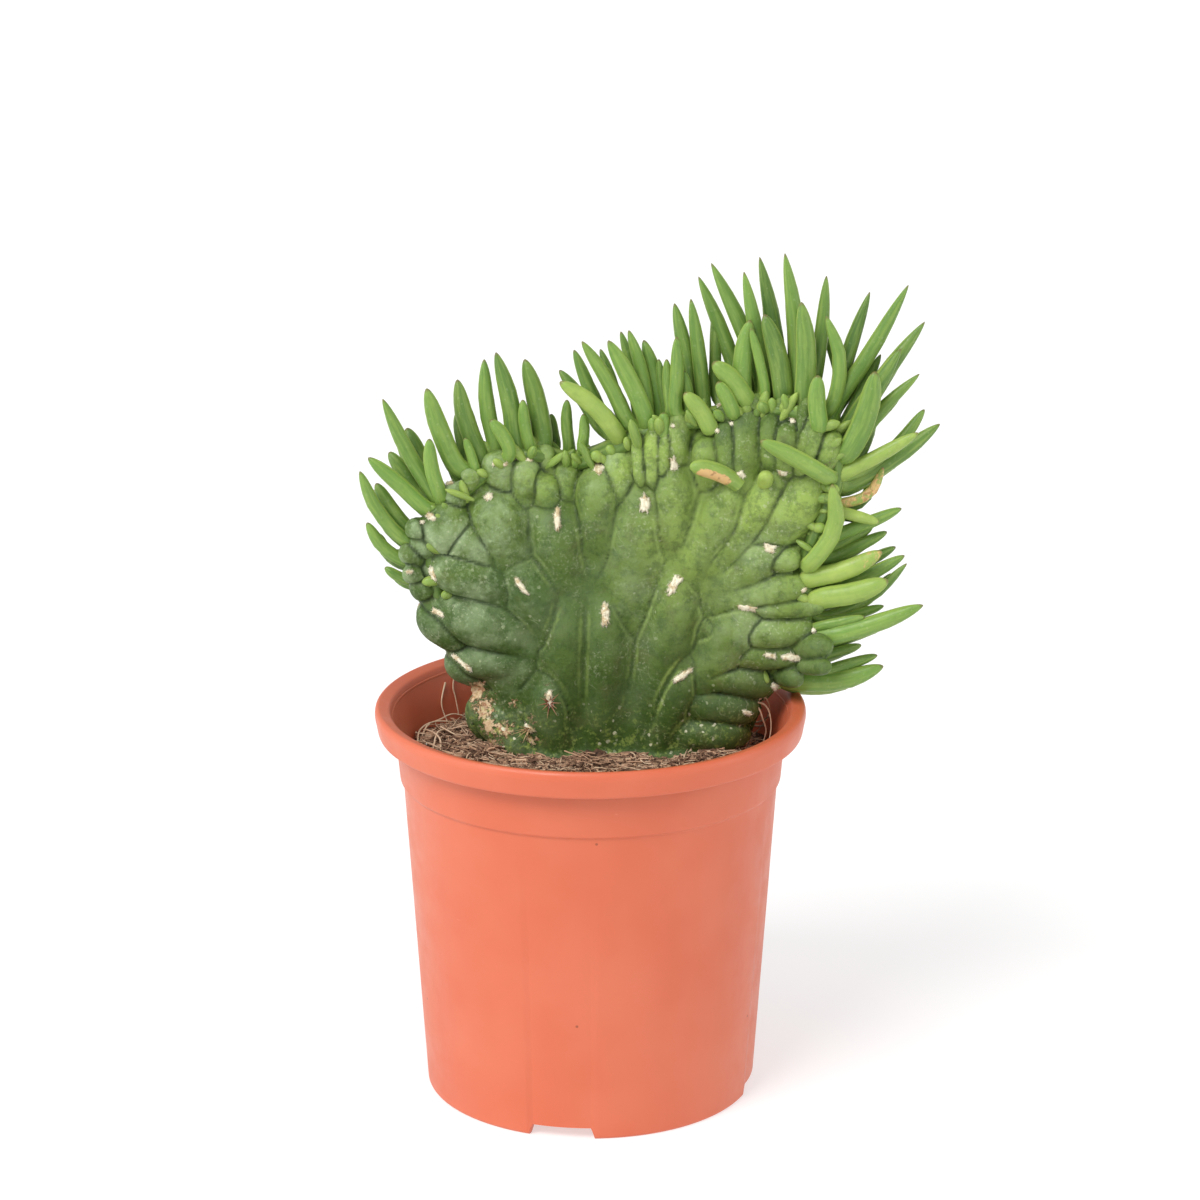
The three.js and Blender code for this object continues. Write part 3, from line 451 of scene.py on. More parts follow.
def add(tree, kind, inputs=None, out=0, **settings):
    """Adds a node with its settings, fills its inputs with values or links, and returns an output.

    With out=None it returns all the outputs.
    """
    node = tree.nodes.new(kind)
    for name, value in settings.items():
        setattr(node, name, value)
    for key, value in (inputs or {}).items():
        if isinstance(value, bpy.types.NodeSocket):
            tree.links.new(value, node.inputs[key])
        else:
            node.inputs[key].default_value = value
    return node.outputs if out is None else node.outputs[out]


class Finish:
    """A material as it is built up: its tree, the mesh's marks that it reads, and its colour so far."""

    def __init__(self, name, colour, *marks):
        self.material = bpy.data.materials.new(name)
        self.material.use_nodes = True
        self.tree = self.material.node_tree
        self.tree.nodes.clear()
        self.place = add(self.tree, "ShaderNodeTexCoord", out="Object")
        self.marks = [add(self.tree, "ShaderNodeAttribute", out="Fac", attribute_name=mark)
                      for mark in marks]
        self.colour = colour

    def grain(self, size, detail=3, roughness=0.5, place=None):
        """What a noise takes whose features are about size metres across."""
        return {"Vector": place or self.place, "Scale": 1 / size, "Detail": detail, "Roughness": roughness}

    def mask(self, source, low, high, least=0.0, most=1.0):
        """A share that eases from least to most as its source goes from low to high.

        The source is a socket, or the size, detail and roughness of the noise to add.
        """
        if isinstance(source, tuple):
            source = add(self.tree, "ShaderNodeTexNoise", self.grain(*source))
        inputs = {0: source, 1: low, 2: high, 3: least, 4: most}
        return add(self.tree, "ShaderNodeMapRange", inputs, interpolation_type="SMOOTHSTEP")

    def flecks(self, spacing, strength):
        """Ragged dots about spacing metres apart, each of its own size, many of them absent."""
        bend = {"Vector": self.place, "Scale": 1.7 / spacing, "Detail": 2.0}
        bend = add(self.tree, "ShaderNodeTexNoise", bend, "Color")
        bent = {0: bend, 1: (spacing * 0.5,) * 3, 2: self.place}
        bent = add(self.tree, "ShaderNodeVectorMath", bent, operation="MULTIPLY_ADD")
        cells = add(self.tree, "ShaderNodeTexVoronoi", {"Vector": bent, "Scale": 1 / spacing}, None)
        size = {0: cells["Color"], 1: 0.36, 2: -0.06}
        size = add(self.tree, "ShaderNodeMath", size, operation="MULTIPLY_ADD")
        beyond = {0: cells["Distance"], 1: size}
        beyond = add(self.tree, "ShaderNodeMath", beyond, operation="SUBTRACT")
        return self.mask(beyond, -0.03, 0.05, strength, 0.0)

    def laid(self, under, colour, *shares):
        """One colour laid over another, as far as the product of the shares says."""
        share = shares[0]
        for more in shares[1:]:
            share = add(self.tree, "ShaderNodeMath", {0: share, 1: more}, operation="MULTIPLY")
        return add(self.tree, "ShaderNodeMix", {0: share, 6: under, 7: colour}, 2, data_type="RGBA")

    def coat(self, colour, *shares):
        """Lays a colour over all that the finish has so far."""
        self.colour = self.laid(self.colour, colour, *shares)

    def end(self, roughness, relief=None, relief_mm=0.0, **fixed):
        """Ends the material: colour, roughness and relief are linked, other sockets are set flat."""
        inputs = {"Base Color": self.colour, "Roughness": roughness}
        if relief is not None:
            bump = {"Height": relief, "Distance": relief_mm * MM}
            inputs["Normal"] = add(self.tree, "ShaderNodeBump", bump)
        for socket, value in fixed.items():
            inputs[socket.replace("_", " ")] = value
        shader = add(self.tree, "ShaderNodeBsdfPrincipled", inputs)
        add(self.tree, "ShaderNodeOutputMaterial", {"Surface": shader}, None)
        return self.material


# Materials

def cactus_skin(colours):
    """Waxy epidermis of a cactus stem: satin, a little translucent, mottled with a pale bloom."""
    skin = Finish("waxy_cactus_epidermis", colours.skin_old,
                  "age", "tone", "crease", "hollow", "cork", "valley", "bloom", "splash")
    age, tone, crease, hollow, cork, valley, bloom, splash = skin.marks
    # Old skin is dull, young skin yellow-green, and no two tubercles are alike
    skin.coat(colours.skin_young, age)
    skin.coat(colours.skin_old, skin.mask(tone, 0.0, 1.0, 0.0, 0.3))
    skin.coat(colours.mottle_and_hollow_shade, skin.mask((3.6 * MM, 6, 0.75), 0.44, 0.64, 0.0, 0.56))
    skin.coat(linear(DIRT), skin.mask((6 * MM, 6, 0.7), 0.52, 0.7, 0.0, 0.4))
    # A grey bloom lies in soft clouds and in fine streaks on raised skin
    cloud = skin.mask((8 * MM, 5, 0.6), 0.4, 0.68, 0.02, 0.68)
    streak = skin.mask((1.7 * MM, 6, 0.72), 0.5, 0.7, 0.0, 0.45)
    dusted = add(skin.tree, "ShaderNodeMath", {0: cloud, 1: streak}, operation="ADD")
    skin.coat(colours.bloom, dusted, bloom)
    # Painted highlight: a lit edge along the seams between ribs
    lit = skin.laid(colours.skin_young, colours.bloom, bloom)
    skin.coat(lit, valley, skin.mask((5 * MM,), 0.36, 0.56, 0.1, 0.9))
    # Worn wax: a fine pale stipple in patches, hairline scratches, and a few larger flecks
    stipple = skin.mask((0.8 * MM, 4, 0.65), 0.5, 0.7, 0.0, 0.34)
    skin.coat(colours.fleck, stipple, skin.mask((9 * MM, 4, 0.6), 0.44, 0.66))
    contour = add(skin.tree, "ShaderNodeTexNoise", skin.grain(9 * MM, 2))
    contour = add(skin.tree, "ShaderNodeMath", {0: contour, 1: 0.5}, operation="SUBTRACT")
    contour = add(skin.tree, "ShaderNodeMath", {0: contour}, operation="ABSOLUTE")
    scratch = skin.mask(contour, 0.001, 0.005, 0.22, 0.0)
    skin.coat(colours.fleck, scratch, skin.mask((5 * MM, 2), 0.55, 0.62))
    skin.coat(colours.fleck, skin.flecks(1.7 * MM, 0.34), skin.mask((10 * MM, 2), 0.5, 0.6))
    # Painted shade: the hollows deep in the fan, and the creases and furrows between tubercles, are
    # darkened
    skin.coat(colours.mottle_and_hollow_shade, hollow, 0.3)
    skin.coat(colours.crease_shade, crease, skin.mask((4 * MM,), 0.36, 0.6, 0.5, 0.95))
    # Corky scars have ragged edges
    rag = add(skin.tree, "ShaderNodeTexNoise", skin.grain(1.5 * MM, 7, 0.8))
    rag = add(skin.tree, "ShaderNodeMath", {0: rag, 1: 0.54}, operation="SUBTRACT")
    rag = add(skin.tree, "ShaderNodeMath", {0: rag, 1: 3.0, 2: cork}, operation="MULTIPLY_ADD")
    scar = {0: skin.mask(rag, 0.36, 0.52), 1: skin.mask(cork, 0.04, 0.16)}
    scar = add(skin.tree, "ShaderNodeMath", scar, operation="MULTIPLY")
    bark = skin.laid(colours.cork, linear(OLD_CORK), skin.mask((0.9 * MM, 4, 0.7), 0.46, 0.62))
    skin.coat(bark, scar)
    # Near the soil: a yellow-green algal film in spots, and splashed white lime
    skin.coat(colours.leaf_pale, skin.mask((1.6 * MM, 5, 0.7), 0.5, 0.66, 0.0, 0.55), splash)
    skin.coat(linear(LIME), skin.flecks(2 * MM, 0.95), splash, skin.mask((6 * MM,), 0.4, 0.56))
    fine = add(skin.tree, "ShaderNodeTexNoise", skin.grain(0.9 * MM, 4, 0.6))
    fine = add(skin.tree, "ShaderNodeMath", {0: scar, 1: 1.5, 2: fine}, operation="MULTIPLY_ADD")
    return skin.end(skin.mask((3 * MM,), 0.3, 0.7, 0.46, 0.6), fine, 0.2, IOR=1.36,
                    Subsurface_Weight=0.12, Subsurface_Scale=2 * MM, Subsurface_Radius=(0.6, 1.0, 0.3))


def leaf_skin(colours):
    """Fleshy leaf: satin and translucent, paler at the base, with a dry dark point."""
    skin = Finish("fleshy_leaf_epidermis", colours.leaf,
                  "share", "tone", "pale", "withered", "across", "outer")
    share, tone, pale, withered, across, outer = skin.marks
    # Darker by each leaf's tone: partly drawn at random, partly painted shade on the rear rows
    skin.coat(colours.leaf_dark, tone)
    # Faint lengthwise streaks, other ones on each leaf
    along = add(skin.tree, "ShaderNodeMath", {0: share, 1: 1.6}, operation="MULTIPLY")
    along = {0: tone, 1: 31.0, 2: along}
    along = add(skin.tree, "ShaderNodeMath", along, operation="MULTIPLY_ADD")
    lane = add(skin.tree, "ShaderNodeCombineXYZ", {0: across, 1: outer, 2: along})
    skin.coat(colours.leaf_pale, skin.mask((0.45, 4, 0.6, lane), 0.4, 0.65, 0.0, 0.32))
    # Paler towards the base, and all over where the leaf is young
    paler = {0: skin.mask(share, 0.1, 0.5, 0.3, 0.0), 1: pale}
    paler = add(skin.tree, "ShaderNodeMath", paler, operation="MAXIMUM")
    skin.coat(colours.leaf_pale, paler, skin.mask((4 * MM,), 0.35, 0.7, 0.7, 1.15))
    skin.coat(colours.leaf_dark, skin.mask((2.2 * MM, 4, 0.6), 0.5, 0.8, 0.0, 0.25))
    # Withered leaves dry from the tip, in blotches
    blotch = add(skin.tree, "ShaderNodeTexNoise", skin.grain(1.8 * MM, 6, 0.75))
    blotch = {0: blotch, 1: 1.6, 2: withered}
    blotch = add(skin.tree, "ShaderNodeMath", blotch, operation="MULTIPLY_ADD")
    dry = skin.laid(colours.withered, linear(SCORCHED), skin.mask((1.2 * MM, 4), 0.5, 0.66, 0.0, 0.7))
    skin.coat(dry, skin.mask(blotch, 1.15, 1.4), skin.mask(withered, 0.02, 0.3))
    skin.coat(colours.fleck, skin.flecks(1.3 * MM, 0.1))
    # The two margins are thin: the light through them is painted as a paler colour. Towards the tip they
    # dry
    margin = add(skin.tree, "ShaderNodeMath", {0: across}, operation="ABSOLUTE")
    margin = skin.mask(margin, 0.8, 0.98)
    skin.coat(colours.leaf_pale, margin, 0.55)
    tip = {0: margin, 1: 0.02, 2: share}
    tip = add(skin.tree, "ShaderNodeMath", tip, operation="MULTIPLY_ADD")
    skin.coat(colours.leaf_tip, skin.mask(tip, 0.968, 1.0, 0.0, 0.7))
    fine = add(skin.tree, "ShaderNodeTexNoise", skin.grain(1.1 * MM, 3, 0.55))
    return skin.end(skin.mask((2 * MM, 2), 0.3, 0.7, 0.36, 0.5), fine, 0.08, IOR=1.42,
                    Subsurface_Weight=0.18, Subsurface_Scale=2.5 * MM, Subsurface_Radius=(0.7, 1.0, 0.3))


def felt_wool(colours):
    """Areole felt: matte, off-white wool, tan where it is old and brown where it is oldest."""
    wool = Finish("areole_wool", colours.felt)
    wool.coat(linear(OLD_WOOL), wool.mask((2.2 * MM, 5, 0.7), 0.46, 0.62, 0.0, 0.8))
    wool.coat(linear(BROWN_WOOL), wool.mask((1.5 * MM, 4, 0.65), 0.6, 0.7, 0.0, 0.6))
    return wool.end(0.92, IOR=1.5, Sheen_Weight=0.25)


def spine_horn(colours):
    """Horny spines: tan, and dark red where the young ones stand."""
    horn = Finish("spine_horn", colours.spine, "tone")
    horn.coat(linear(YOUNG_SPINE), *horn.marks)
    return horn.end(0.45, IOR=1.54)


def peat_body(colours):
    """Moist peat: matte brown crumbs with near-black gaps between them, dark peat deepened by painted
    shade.
    """
    peat = Finish("moist_peat", linear(PEAT_GAP_AND_SHADE))
    crumb = add(peat.tree, "ShaderNodeTexNoise", peat.grain(1.6 * MM, 5, 0.7))
    # The low places of the crumbs keep the gap colour: the peat's own dark, and painted shade
    peat.coat(colours.peat, peat.mask(crumb, 0.35, 0.6))
    peat.coat(colours.fibre, peat.mask(crumb, 0.6, 0.8, 0.0, 0.6))
    return peat.end(0.96, crumb, 0.8, IOR=1.4)


def peat_fibre(colours):
    """Dry peat fibres: matte, tan to dark brown from one to the next."""
    fibre = Finish("dry_peat_fibre", colours.peat, "tone")
    fibre.coat(colours.fibre, fibre.mask(fibre.marks[0], 0.15, 0.8))
    fibre.coat(colours.root, fibre.mask(fibre.marks[0], 0.88, 0.95, 0.0, 0.7))
    fine = add(fibre.tree, "ShaderNodeTexNoise", fibre.grain(0.6 * MM))
    return fibre.end(0.9, fine, 0.1, IOR=1.45)


def pale_root(colours):
    """Thin living roots: pale tan, satin."""
    root = Finish("pale_root", colours.root)
    root.coat(colours.fibre, root.mask((3 * MM,), 0.35, 0.7, 0.0, 0.6))
    return root.end(0.7, IOR=1.45)


def perlite_grain(colours):
    """Perlite and lime grains: matte, off-white."""
    perlite = Finish("expanded_perlite", colours.perlite)
    perlite.coat(colours.fibre, perlite.mask((1 * MM,), 0.5, 0.8, 0.0, 0.6))
    return perlite.end(0.85, IOR=1.5)


def pot_plastic(colours):
    """Injection-moulded polypropylene: satin, evenly coloured, with faint flow marks and scuffs."""
    plastic = Finish("moulded_polypropylene", colours.pot)
    plastic.coat(linear(FLOW_MARK), plastic.mask((26 * MM, 2), 0.3, 0.7, 0.0, 0.1))
    flat = {"Vector": plastic.place, "Scale": (1.0, 1.0, 3.5)}
    flat = add(plastic.tree, "ShaderNodeMapping", flat)
    plastic.coat(linear(SCUFF), plastic.mask((5 * MM, 6, 0.75, flat), 0.66, 0.78, 0.0, 0.28))
    # Dust specks, each about half a millimetre across
    specks = {"Vector": plastic.place, "Scale": 1 / (13 * MM)}
    specks = add(plastic.tree, "ShaderNodeTexVoronoi", specks)
    plastic.coat(linear(DUST), plastic.mask(specks, 0.018, 0.034, 0.7, 0.0))
    fine = add(plastic.tree, "ShaderNodeTexNoise", plastic.grain(0.35 * MM, 2))
    return plastic.end(plastic.mask((9 * MM, 5, 0.6), 0.3, 0.7, 0.36, 0.5), fine, 0.02, IOR=1.49,
                       Subsurface_Weight=0.08, Subsurface_Scale=1.5 * MM,
                       Subsurface_Radius=(1.0, 0.4, 0.2))


def studio_floor(colours):
    """Backlit white acrylic sweep: matte, and bright enough that shadows on it stay pale."""
    acrylic = Finish("backlit_acrylic_sweep", colours.floor)
    acrylic.coat(linear(FLOOR_SHADE), acrylic.mask((0.4, 2), 0.3, 0.7, 0.0, 0.02))
    return acrylic.end(0.9, IOR=1.4, Emission_Color=linear(WHITE), Emission_Strength=0.55)


# Shape rules, in millimetres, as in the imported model

def smooth(t):
    """A soft step: 0 below t = 0, 1 above t = 1."""
    s = np.clip(t, 0, 1)
    return s * s * (3 - 2 * s)


def bell(t):
    """A soft bump: 1 at t = 0, near 0 beyond t = 2."""
    return np.exp(-t * t)


def drawer(seed):
    """A seeded stream of even draws between 0 and 1."""
    state = seed

    def draw():
        nonlocal state
        state = (state * 1664525 + 1013904223) % 4294967296
        return state / 4294967296

    return draw


def sight(x, z, y):
    """Moves places of the front view to a depth y, along their lines of sight."""
    x, z, y = np.broadcast_arrays(x, z, y)
    reach = 1 - y / EYE[1]
    return np.stack([EYE[0] + (x - EYE[0]) * reach, y, EYE[2] + (z - EYE[2]) * reach], axis=-1)


def front_view(points):
    """The x and z of the front view at which points are seen: the inverse of sight."""
    reach = 1 - points[..., 1] / EYE[1]
    return (EYE[0] + (points[..., 0] - EYE[0]) / reach, EYE[2] + (points[..., 2] - EYE[2]) / reach)


BELOW_FOOT = STEM_FOOT_Z - 12
FAN_EDGE = np.array([(STEM_FOOT_LEFT, BELOW_FOOT), *CREST, (STEM_FOOT_RIGHT, BELOW_FOOT)], float)


def edge_distance(x, z):
    """How far places of the front view are from the fan's outline."""
    nearest = np.full(np.shape(x), np.inf)
    for (ax, az), (bx, bz) in zip(FAN_EDGE[:-1], FAN_EDGE[1:]):
        along = ((x - ax) * (bx - ax) + (z - az) * (bz - az)) / ((bx - ax) ** 2 + (bz - az) ** 2)
        t = np.clip(along, 0, 1)
        nearest = np.minimum(nearest, np.hypot(x - ax - t * (bx - ax), z - az - t * (bz - az)))
    return nearest


def half_thickness(x, z):
    """Half the fan's thickness: less with height, more at the crown, and round at the outline."""
    full = BASE_HALF_THICKNESS - THINNING * (z - STEM_FOOT_Z)
    crown = 1 + 0.25 * smooth((x - 20) / 20) * smooth((z - 140) / 25)
    inwards = 1 - np.clip(edge_distance(x, z) / EDGE_ROUNDING, 0, 1)
    return full * crown * np.sqrt(1 - inwards * inwards)


def middle_depth(x, z):
    """The depth y of the fan's middle: it leans, folds forward at the right and waves a little."""
    lean = 8 - 0.03 * (z - STEM_FOOT_Z)
    rise = smooth((z - 100) / 50)
    right_fold = -11 * smooth((x - 36) / 28) * smooth((z - 92) / 20)
    valley = 4 * bell((x + 6) / 7) * smooth((z - 145) / 15)
    return lean + right_fold + valley + 1.8 * rise * np.sin((x + 30) * 0.085)


def catmull_rom(points, t):
    """Places at shares t of a centripetal Catmull-Rom curve through points, ends extended."""
    p = np.asarray(points, float)
    p = np.vstack([2 * p[0] - p[1], p, 2 * p[-1] - p[-2]])
    spans = len(p) - 3
    at = np.clip(np.asarray(t, float), 0, 1) * spans
    i = np.minimum(at.astype(int), spans - 1)
    w = (at - i)[:, None]
    x0, x1, x2, x3 = p[i], p[i + 1], p[i + 2], p[i + 3]
    step = [np.maximum(np.sqrt(np.linalg.norm(b - a, axis=1)), 1e-2)[:, None]
            for a, b in ((x0, x1), (x1, x2), (x2, x3))]
    m1 = ((x1 - x0) / step[0] - (x2 - x0) / (step[0] + step[1]) + (x2 - x1) / step[1]) * step[1]
    m2 = ((x2 - x1) / step[1] - (x3 - x1) / (step[1] + step[2]) + (x3 - x2) / step[2]) * step[1]
    return x1 + m1 * w + (-3 * x1 + 3 * x2 - 2 * m1 - m2) * w ** 2 + (2 * x1 - 2 * x2 + m1 + m2) * w ** 3


def crest_places(shares):
    """Places and directions on the crest outline at shares of its length."""
    fine = catmull_rom(CREST, np.linspace(0, 1, 1201))
    length = np.concatenate([[0], np.cumsum(np.linalg.norm(np.diff(fine, axis=0), axis=1))])
    length /= length[-1]
    at = np.stack([np.interp(shares, length, fine[:, k]) for k in (0, 1)], axis=1)
    ahead = np.stack([np.interp(np.asarray(shares) + 0.002, length, fine[:, k]) for k in (0, 1)], axis=1)
    along = ahead - at
    return at, along / np.maximum(np.linalg.norm(along, axis=1), 1e-9)[:, None]


def crest_strip(node):
    """Points along a spray's strip of the growing edge."""
    start, end = CREST_STRETCHES[node]
    steps = round((end - start) * 36)
    at, along = crest_places(np.linspace(start, end, steps + 1))
    x = at[:, 0] + CREST_DROP * along[:, 1]
    z = at[:, 1] - CREST_DROP * along[:, 0]
    return sight(x, z, middle_depth(x, z))


def bowed(root, tip, bow, t):
    """Places at shares t of a curve from root to tip whose middle is moved sideways."""
    run = tip - root
    side = np.array([-run[2], 0, run[0]])
    side /= np.linalg.norm(side)
    middle = (root + tip) / 2 - 2 * bow * side
    t = t[:, None]
    return (1 - t) ** 2 * root + 2 * t * (1 - t) * middle + t ** 2 * tip


def limb(path, girth, deep, **marks):
    """A limb for the limb tree: its path, half width at each point, depth share and marks."""
    return {"path": path, "girth": girth, "deep": deep, "marks": marks}


TUBERCLE_STEPS = np.concatenate([
    [0, 0.02, 0.06], np.linspace(0.12, 0.86, 14), [0.91, 0.95, 0.98, 0.995, 1]])


def tubercle_girth(t):
    """Half width of a tubercle along it: a soft shoulder, widest past the middle, a round end."""
    rise = np.interp(t, [0, 0.24, 0.62, 1], [0.55, 0.88, 1, 1])
    root = np.sqrt(np.clip(t / 0.1, 0.0004, 1))
    end = np.clip((t - 0.62) / 0.38, 0, 1)
    return rise * root * np.sqrt(np.maximum(1 - end ** 2.2, 0.0004))


def tubercle(row, side, tone):
    """A tubercle that follows the fan's face from its root to its tip."""
    root_x, root_z, tip_x, tip_z, width, bow, behind = row
    run_x, run_z = tip_x - root_x, tip_z - root_z
    t = np.linspace(0, 1, TUBERCLE_SPANS + 1)
    aside = 4 * bow * t * (1 - t) / math.hypot(run_x, run_z)
    x = root_x + run_x * t + run_z * aside
    z = root_z + run_z * t - run_x * aside
    relief = (ROOT_RELIEF + (TIP_RELIEF - ROOT_RELIEF) * t) * width
    face = np.maximum(half_thickness(x, z), CREST_FACE) + relief - behind
    points = sight(x, z, middle_depth(x, z) + side * (face - TUBERCLE_DEPTH * width))
    path = catmull_rom(points, TUBERCLE_STEPS)
    return limb(path, tubercle_girth(TUBERCLE_STEPS) * width / 2, 2 * TUBERCLE_DEPTH, tone=tone)


def swollen(row):
    """A tubercle's row, wide enough that it presses on its neighbours."""
    return (*row[:4], row[4] * TUBERCLE_SWELL, *row[5:])


def rear_tubercle(row, index):
    """The back repeats the front's growth pattern, each tubercle a little moved and resized."""
    draw = drawer(REAR_SEED + 37 * index)
    root_x, root_z, tip_x, tip_z, width, bow, behind = row
    move_x = 3 * (draw() - 0.5)
    move_z = 2 * (draw() - 0.5)
    grow = REAR_SWELL + 0.25 * (draw() - 0.5)
    return (root_x + move_x, root_z + move_z, tip_x + move_x * 0.4, tip_z + move_z * 0.4,
            width * grow, bow, behind / 3)


def tubercles():
    """All tubercles: the front's, the back's, and small ones that fill the back's upper edge."""
    draw = drawer(SEEDS["tones"])
    front = [tubercle(swollen(row), -1, draw()) for row in TUBERCLES]
    broad = [row for row in TUBERCLES if row[4] > REAR_SMALLEST]
    slim = [row for row in TUBERCLES if row[4] <= REAR_SMALLEST]
    rear = [tubercle(rear_tubercle(row, i), 1, draw()) for i, row in enumerate(broad)]
    rear += [tubercle(rear_tubercle(row, 300 + i), 1, draw()) for i, row in enumerate(slim)]
    return front + rear


LEAF_STEPS = np.concatenate([np.linspace(0, 0.6, 9)[:-1], 1 - np.geomspace(0.4, 0.004, 12), [1.0]])


def leaf_girth(t, pointed=0.0):
    """Half width of a leaf along it: a strap for most of it, then a blunt or a more pointed arch."""
    rise = 0.9 + 0.1 * smooth(t / 0.45)
    end = np.clip((t - 0.58) / 0.42, 0, 1)
    return rise * np.maximum(1 - end ** (3 - 0.75 * pointed), 0) ** (0.56 + 0.18 * pointed) + 0.006


def leaf(strip, row, swell, **marks):
    """A leaf whose path starts inside the crest's strip and bends to the tip."""
    tip_x, tip_z, base_x, base_z, width, bow, place = row
    base_y = middle_depth(base_x, base_z) + place * ROW_DEPTH
    length = math.hypot(tip_x - base_x, tip_z - base_z)
    base = sight(base_x, base_z, base_y)
    tip = sight(tip_x, tip_z, base_y + place * ROW_LEAN * length)
    inner = strip[1:-1]
    anchor = inner[np.argmin(np.hypot(inner[:, 0] - base_x, inner[:, 2] - base_z))]
    if np.linalg.norm(anchor - base) < NECK:
        anchor = base + (tip - base) * (-NECK / length)
    middle = bowed(base, tip, bow, np.array([0.5]))[0]
    path = catmull_rom([anchor, base, middle, tip], LEAF_STEPS)
    girth = leaf_girth(LEAF_STEPS, min(max((length - 16) / 15, 0), 1)) * width / 2 * swell
    return limb(path, girth, LEAF_FLATNESS, share=LEAF_STEPS, **marks)


def rear_leaf(row, index):
    """Behind each front leaf stands a shorter one, on the rear side of the crest."""
    draw = drawer(REAR_SEED + 101 * index)
    tip_x, tip_z, base_x, base_z, width, bow, place = row
    share = 0.68 + 0.2 * draw()
    shift = 2.4 * (draw() - 0.5)
    return (base_x + (tip_x - base_x) * share, base_z + (tip_z - base_z) * share, base_x + shift,
            base_z - 1, width * (0.9 + 0.15 * draw()), bow, max(1.1, 1.3 - 0.3 * place + 0.4 * draw()))


BUD_STEPS = 0.5 - 0.5 * np.cos(np.linspace(0, math.pi, 11))


def buds(node):
    """Leaf buds, crowded along the strip in two rows by turns: one in front of it, one on it."""
    start, end = CREST_STRETCHES[node]
    draw = drawer(SEEDS["buds"] + len(node))
    made = []
    for k, share in enumerate(np.arange(start + 0.004, end - 0.003, 0.0033)):
        at, along = crest_places([share])
        outwards = np.array([-along[0, 1], along[0, 0]])
        low = k % 2
        row = -0.6 - 0.5 * draw() if low else 2.4 * (draw() - 0.5)
        length = 2.8 + (3 if low else 5.5) * draw() ** 2
        lean = 1.3 * (draw() - 0.5)
        absent = draw() > FRONT_BUDS[node]
        if low and (absent or share > LAST_FRONT_BUD):
            continue
        x, z = at[0] - outwards * (2.5 + (1.1 if low else 2) * abs(row) - 1.5 * low * draw())
        depth = middle_depth(x, z) + row * ROW_DEPTH * 1.1
        root = sight(x, z, depth)
        tip_x, tip_z = np.array([x, z]) + outwards * length + along[0] * lean * length
        tip = sight(tip_x, tip_z, depth + row * 1.4)
        path = root + (tip - root) * BUD_STEPS[:, None]
        width = 1.3 + 1.4 * draw() + low * 1.2 * draw() ** 2
        girth = width / 2 * leaf_girth(BUD_STEPS, 1.0) * np.minimum(0.5 + 2 * BUD_STEPS, 1)
        made.append(limb(path, girth, 0.9, share=0.15 + 0.5 * BUD_STEPS, tone=0.7 * draw(),
                         pale=0.15 + 0.55 * draw(), withered=0.0))
    return made


def strip_limb(node, strip):
    """The strip of the growing edge itself, as a limb."""
    t = np.linspace(0, 1, 4 * len(strip))
    deep = CROWN_DEPTH if node == "leaves_crown" else CREST_DEPTH
    girth = CREST_HEIGHT * np.sqrt(np.clip(np.minimum(t, 1 - t) / 0.05, 0.0004, 1))
    return limb(catmull_rom(strip, t), girth, deep / CREST_HEIGHT, share=0.5, tone=0.8,
                pale=0.15, withered=0.0)


# Meshes

def placed(name, data):
    """A new object in the scene, at the origin."""
    made = bpy.data.objects.new(name, data)
    bpy.context.scene.collection.objects.link(made)
    return made


def mesh_object(name, points_mm, faces=(), edges=(), marks=None):
    """An object at the origin from points in millimetres, with a float attribute for each mark."""
    mesh = bpy.data.meshes.new(name)
    places = (np.asarray(points_mm) * MM).tolist()
    mesh.from_pydata(places, [list(e) for e in edges], [list(f) for f in faces])
    for key, values in (marks or {}).items():
        layer = mesh.attributes.new(key, "FLOAT", "POINT")
        layer.data.foreach_set("value", np.asarray(values, np.float32))
    mesh.update()
    return placed(name, mesh)


def prism(name, outline, heights):
    """A closed upright solid between two heights, from the points x, y of its outline."""
    count = len(outline)
    points = [(x, y, z) for z in heights for x, y in outline]
    faces = [(s, (s + 1) % count, count + (s + 1) % count, count + s) for s in range(count)]
    faces += [tuple(reversed(range(count))), tuple(range(count, 2 * count))]
    return mesh_object(name, points, faces)


def limb_paths(name, limbs):
    """The limbs' paths as one mesh of edges, with the attributes that the limb tree reads."""
    points, edges, facing = [], [], []
    marks = {"girth": [], "deep": []}
    for item in limbs:
        path = item["path"]
        first = sum(len(p) for p in points)
        points.append(path)
        edges += [(first + i, first + i + 1) for i in range(len(path) - 1)]
        along = np.gradient(path, axis=0)
        across = np.cross([0, 1, 0], along)
        out = np.cross(across, along)
        facing.append(out / np.maximum(np.linalg.norm(out, axis=1), 1e-9)[:, None])
        marks["girth"].append(item["girth"] * MM)
        marks["deep"].append(np.full(len(path), item["deep"]))
        for key, value in item["marks"].items():
            marks.setdefault(key, []).append(np.broadcast_to(value, len(path)))
    made = mesh_object(name, np.vstack(points), edges=edges,
                       marks={k: np.concatenate(v) for k, v in marks.items()})
    layer = made.data.attributes.new("facing", "FLOAT_VECTOR", "POINT")
    layer.data.foreach_set("vector", np.vstack(facing).astype(np.float32).ravel())
    return made


def new_tree(name, sockets):
    """A geometry tree with a geometry input and output and the named inputs."""
    tree = bpy.data.node_groups.new(name, "GeometryNodeTree")
    tree.is_modifier = True
    tree.interface.new_socket("Geometry", in_out="INPUT", socket_type="NodeSocketGeometry")
    for label, (kind, default) in sockets.items():
        socket = tree.interface.new_socket(label, in_out="INPUT", socket_type=kind)
        if default is not None:
            socket.default_value = default
    tree.interface.new_socket("Geometry", in_out="OUTPUT", socket_type="NodeSocketGeometry")
    return tree, add(tree, "NodeGroupInput", out=None)


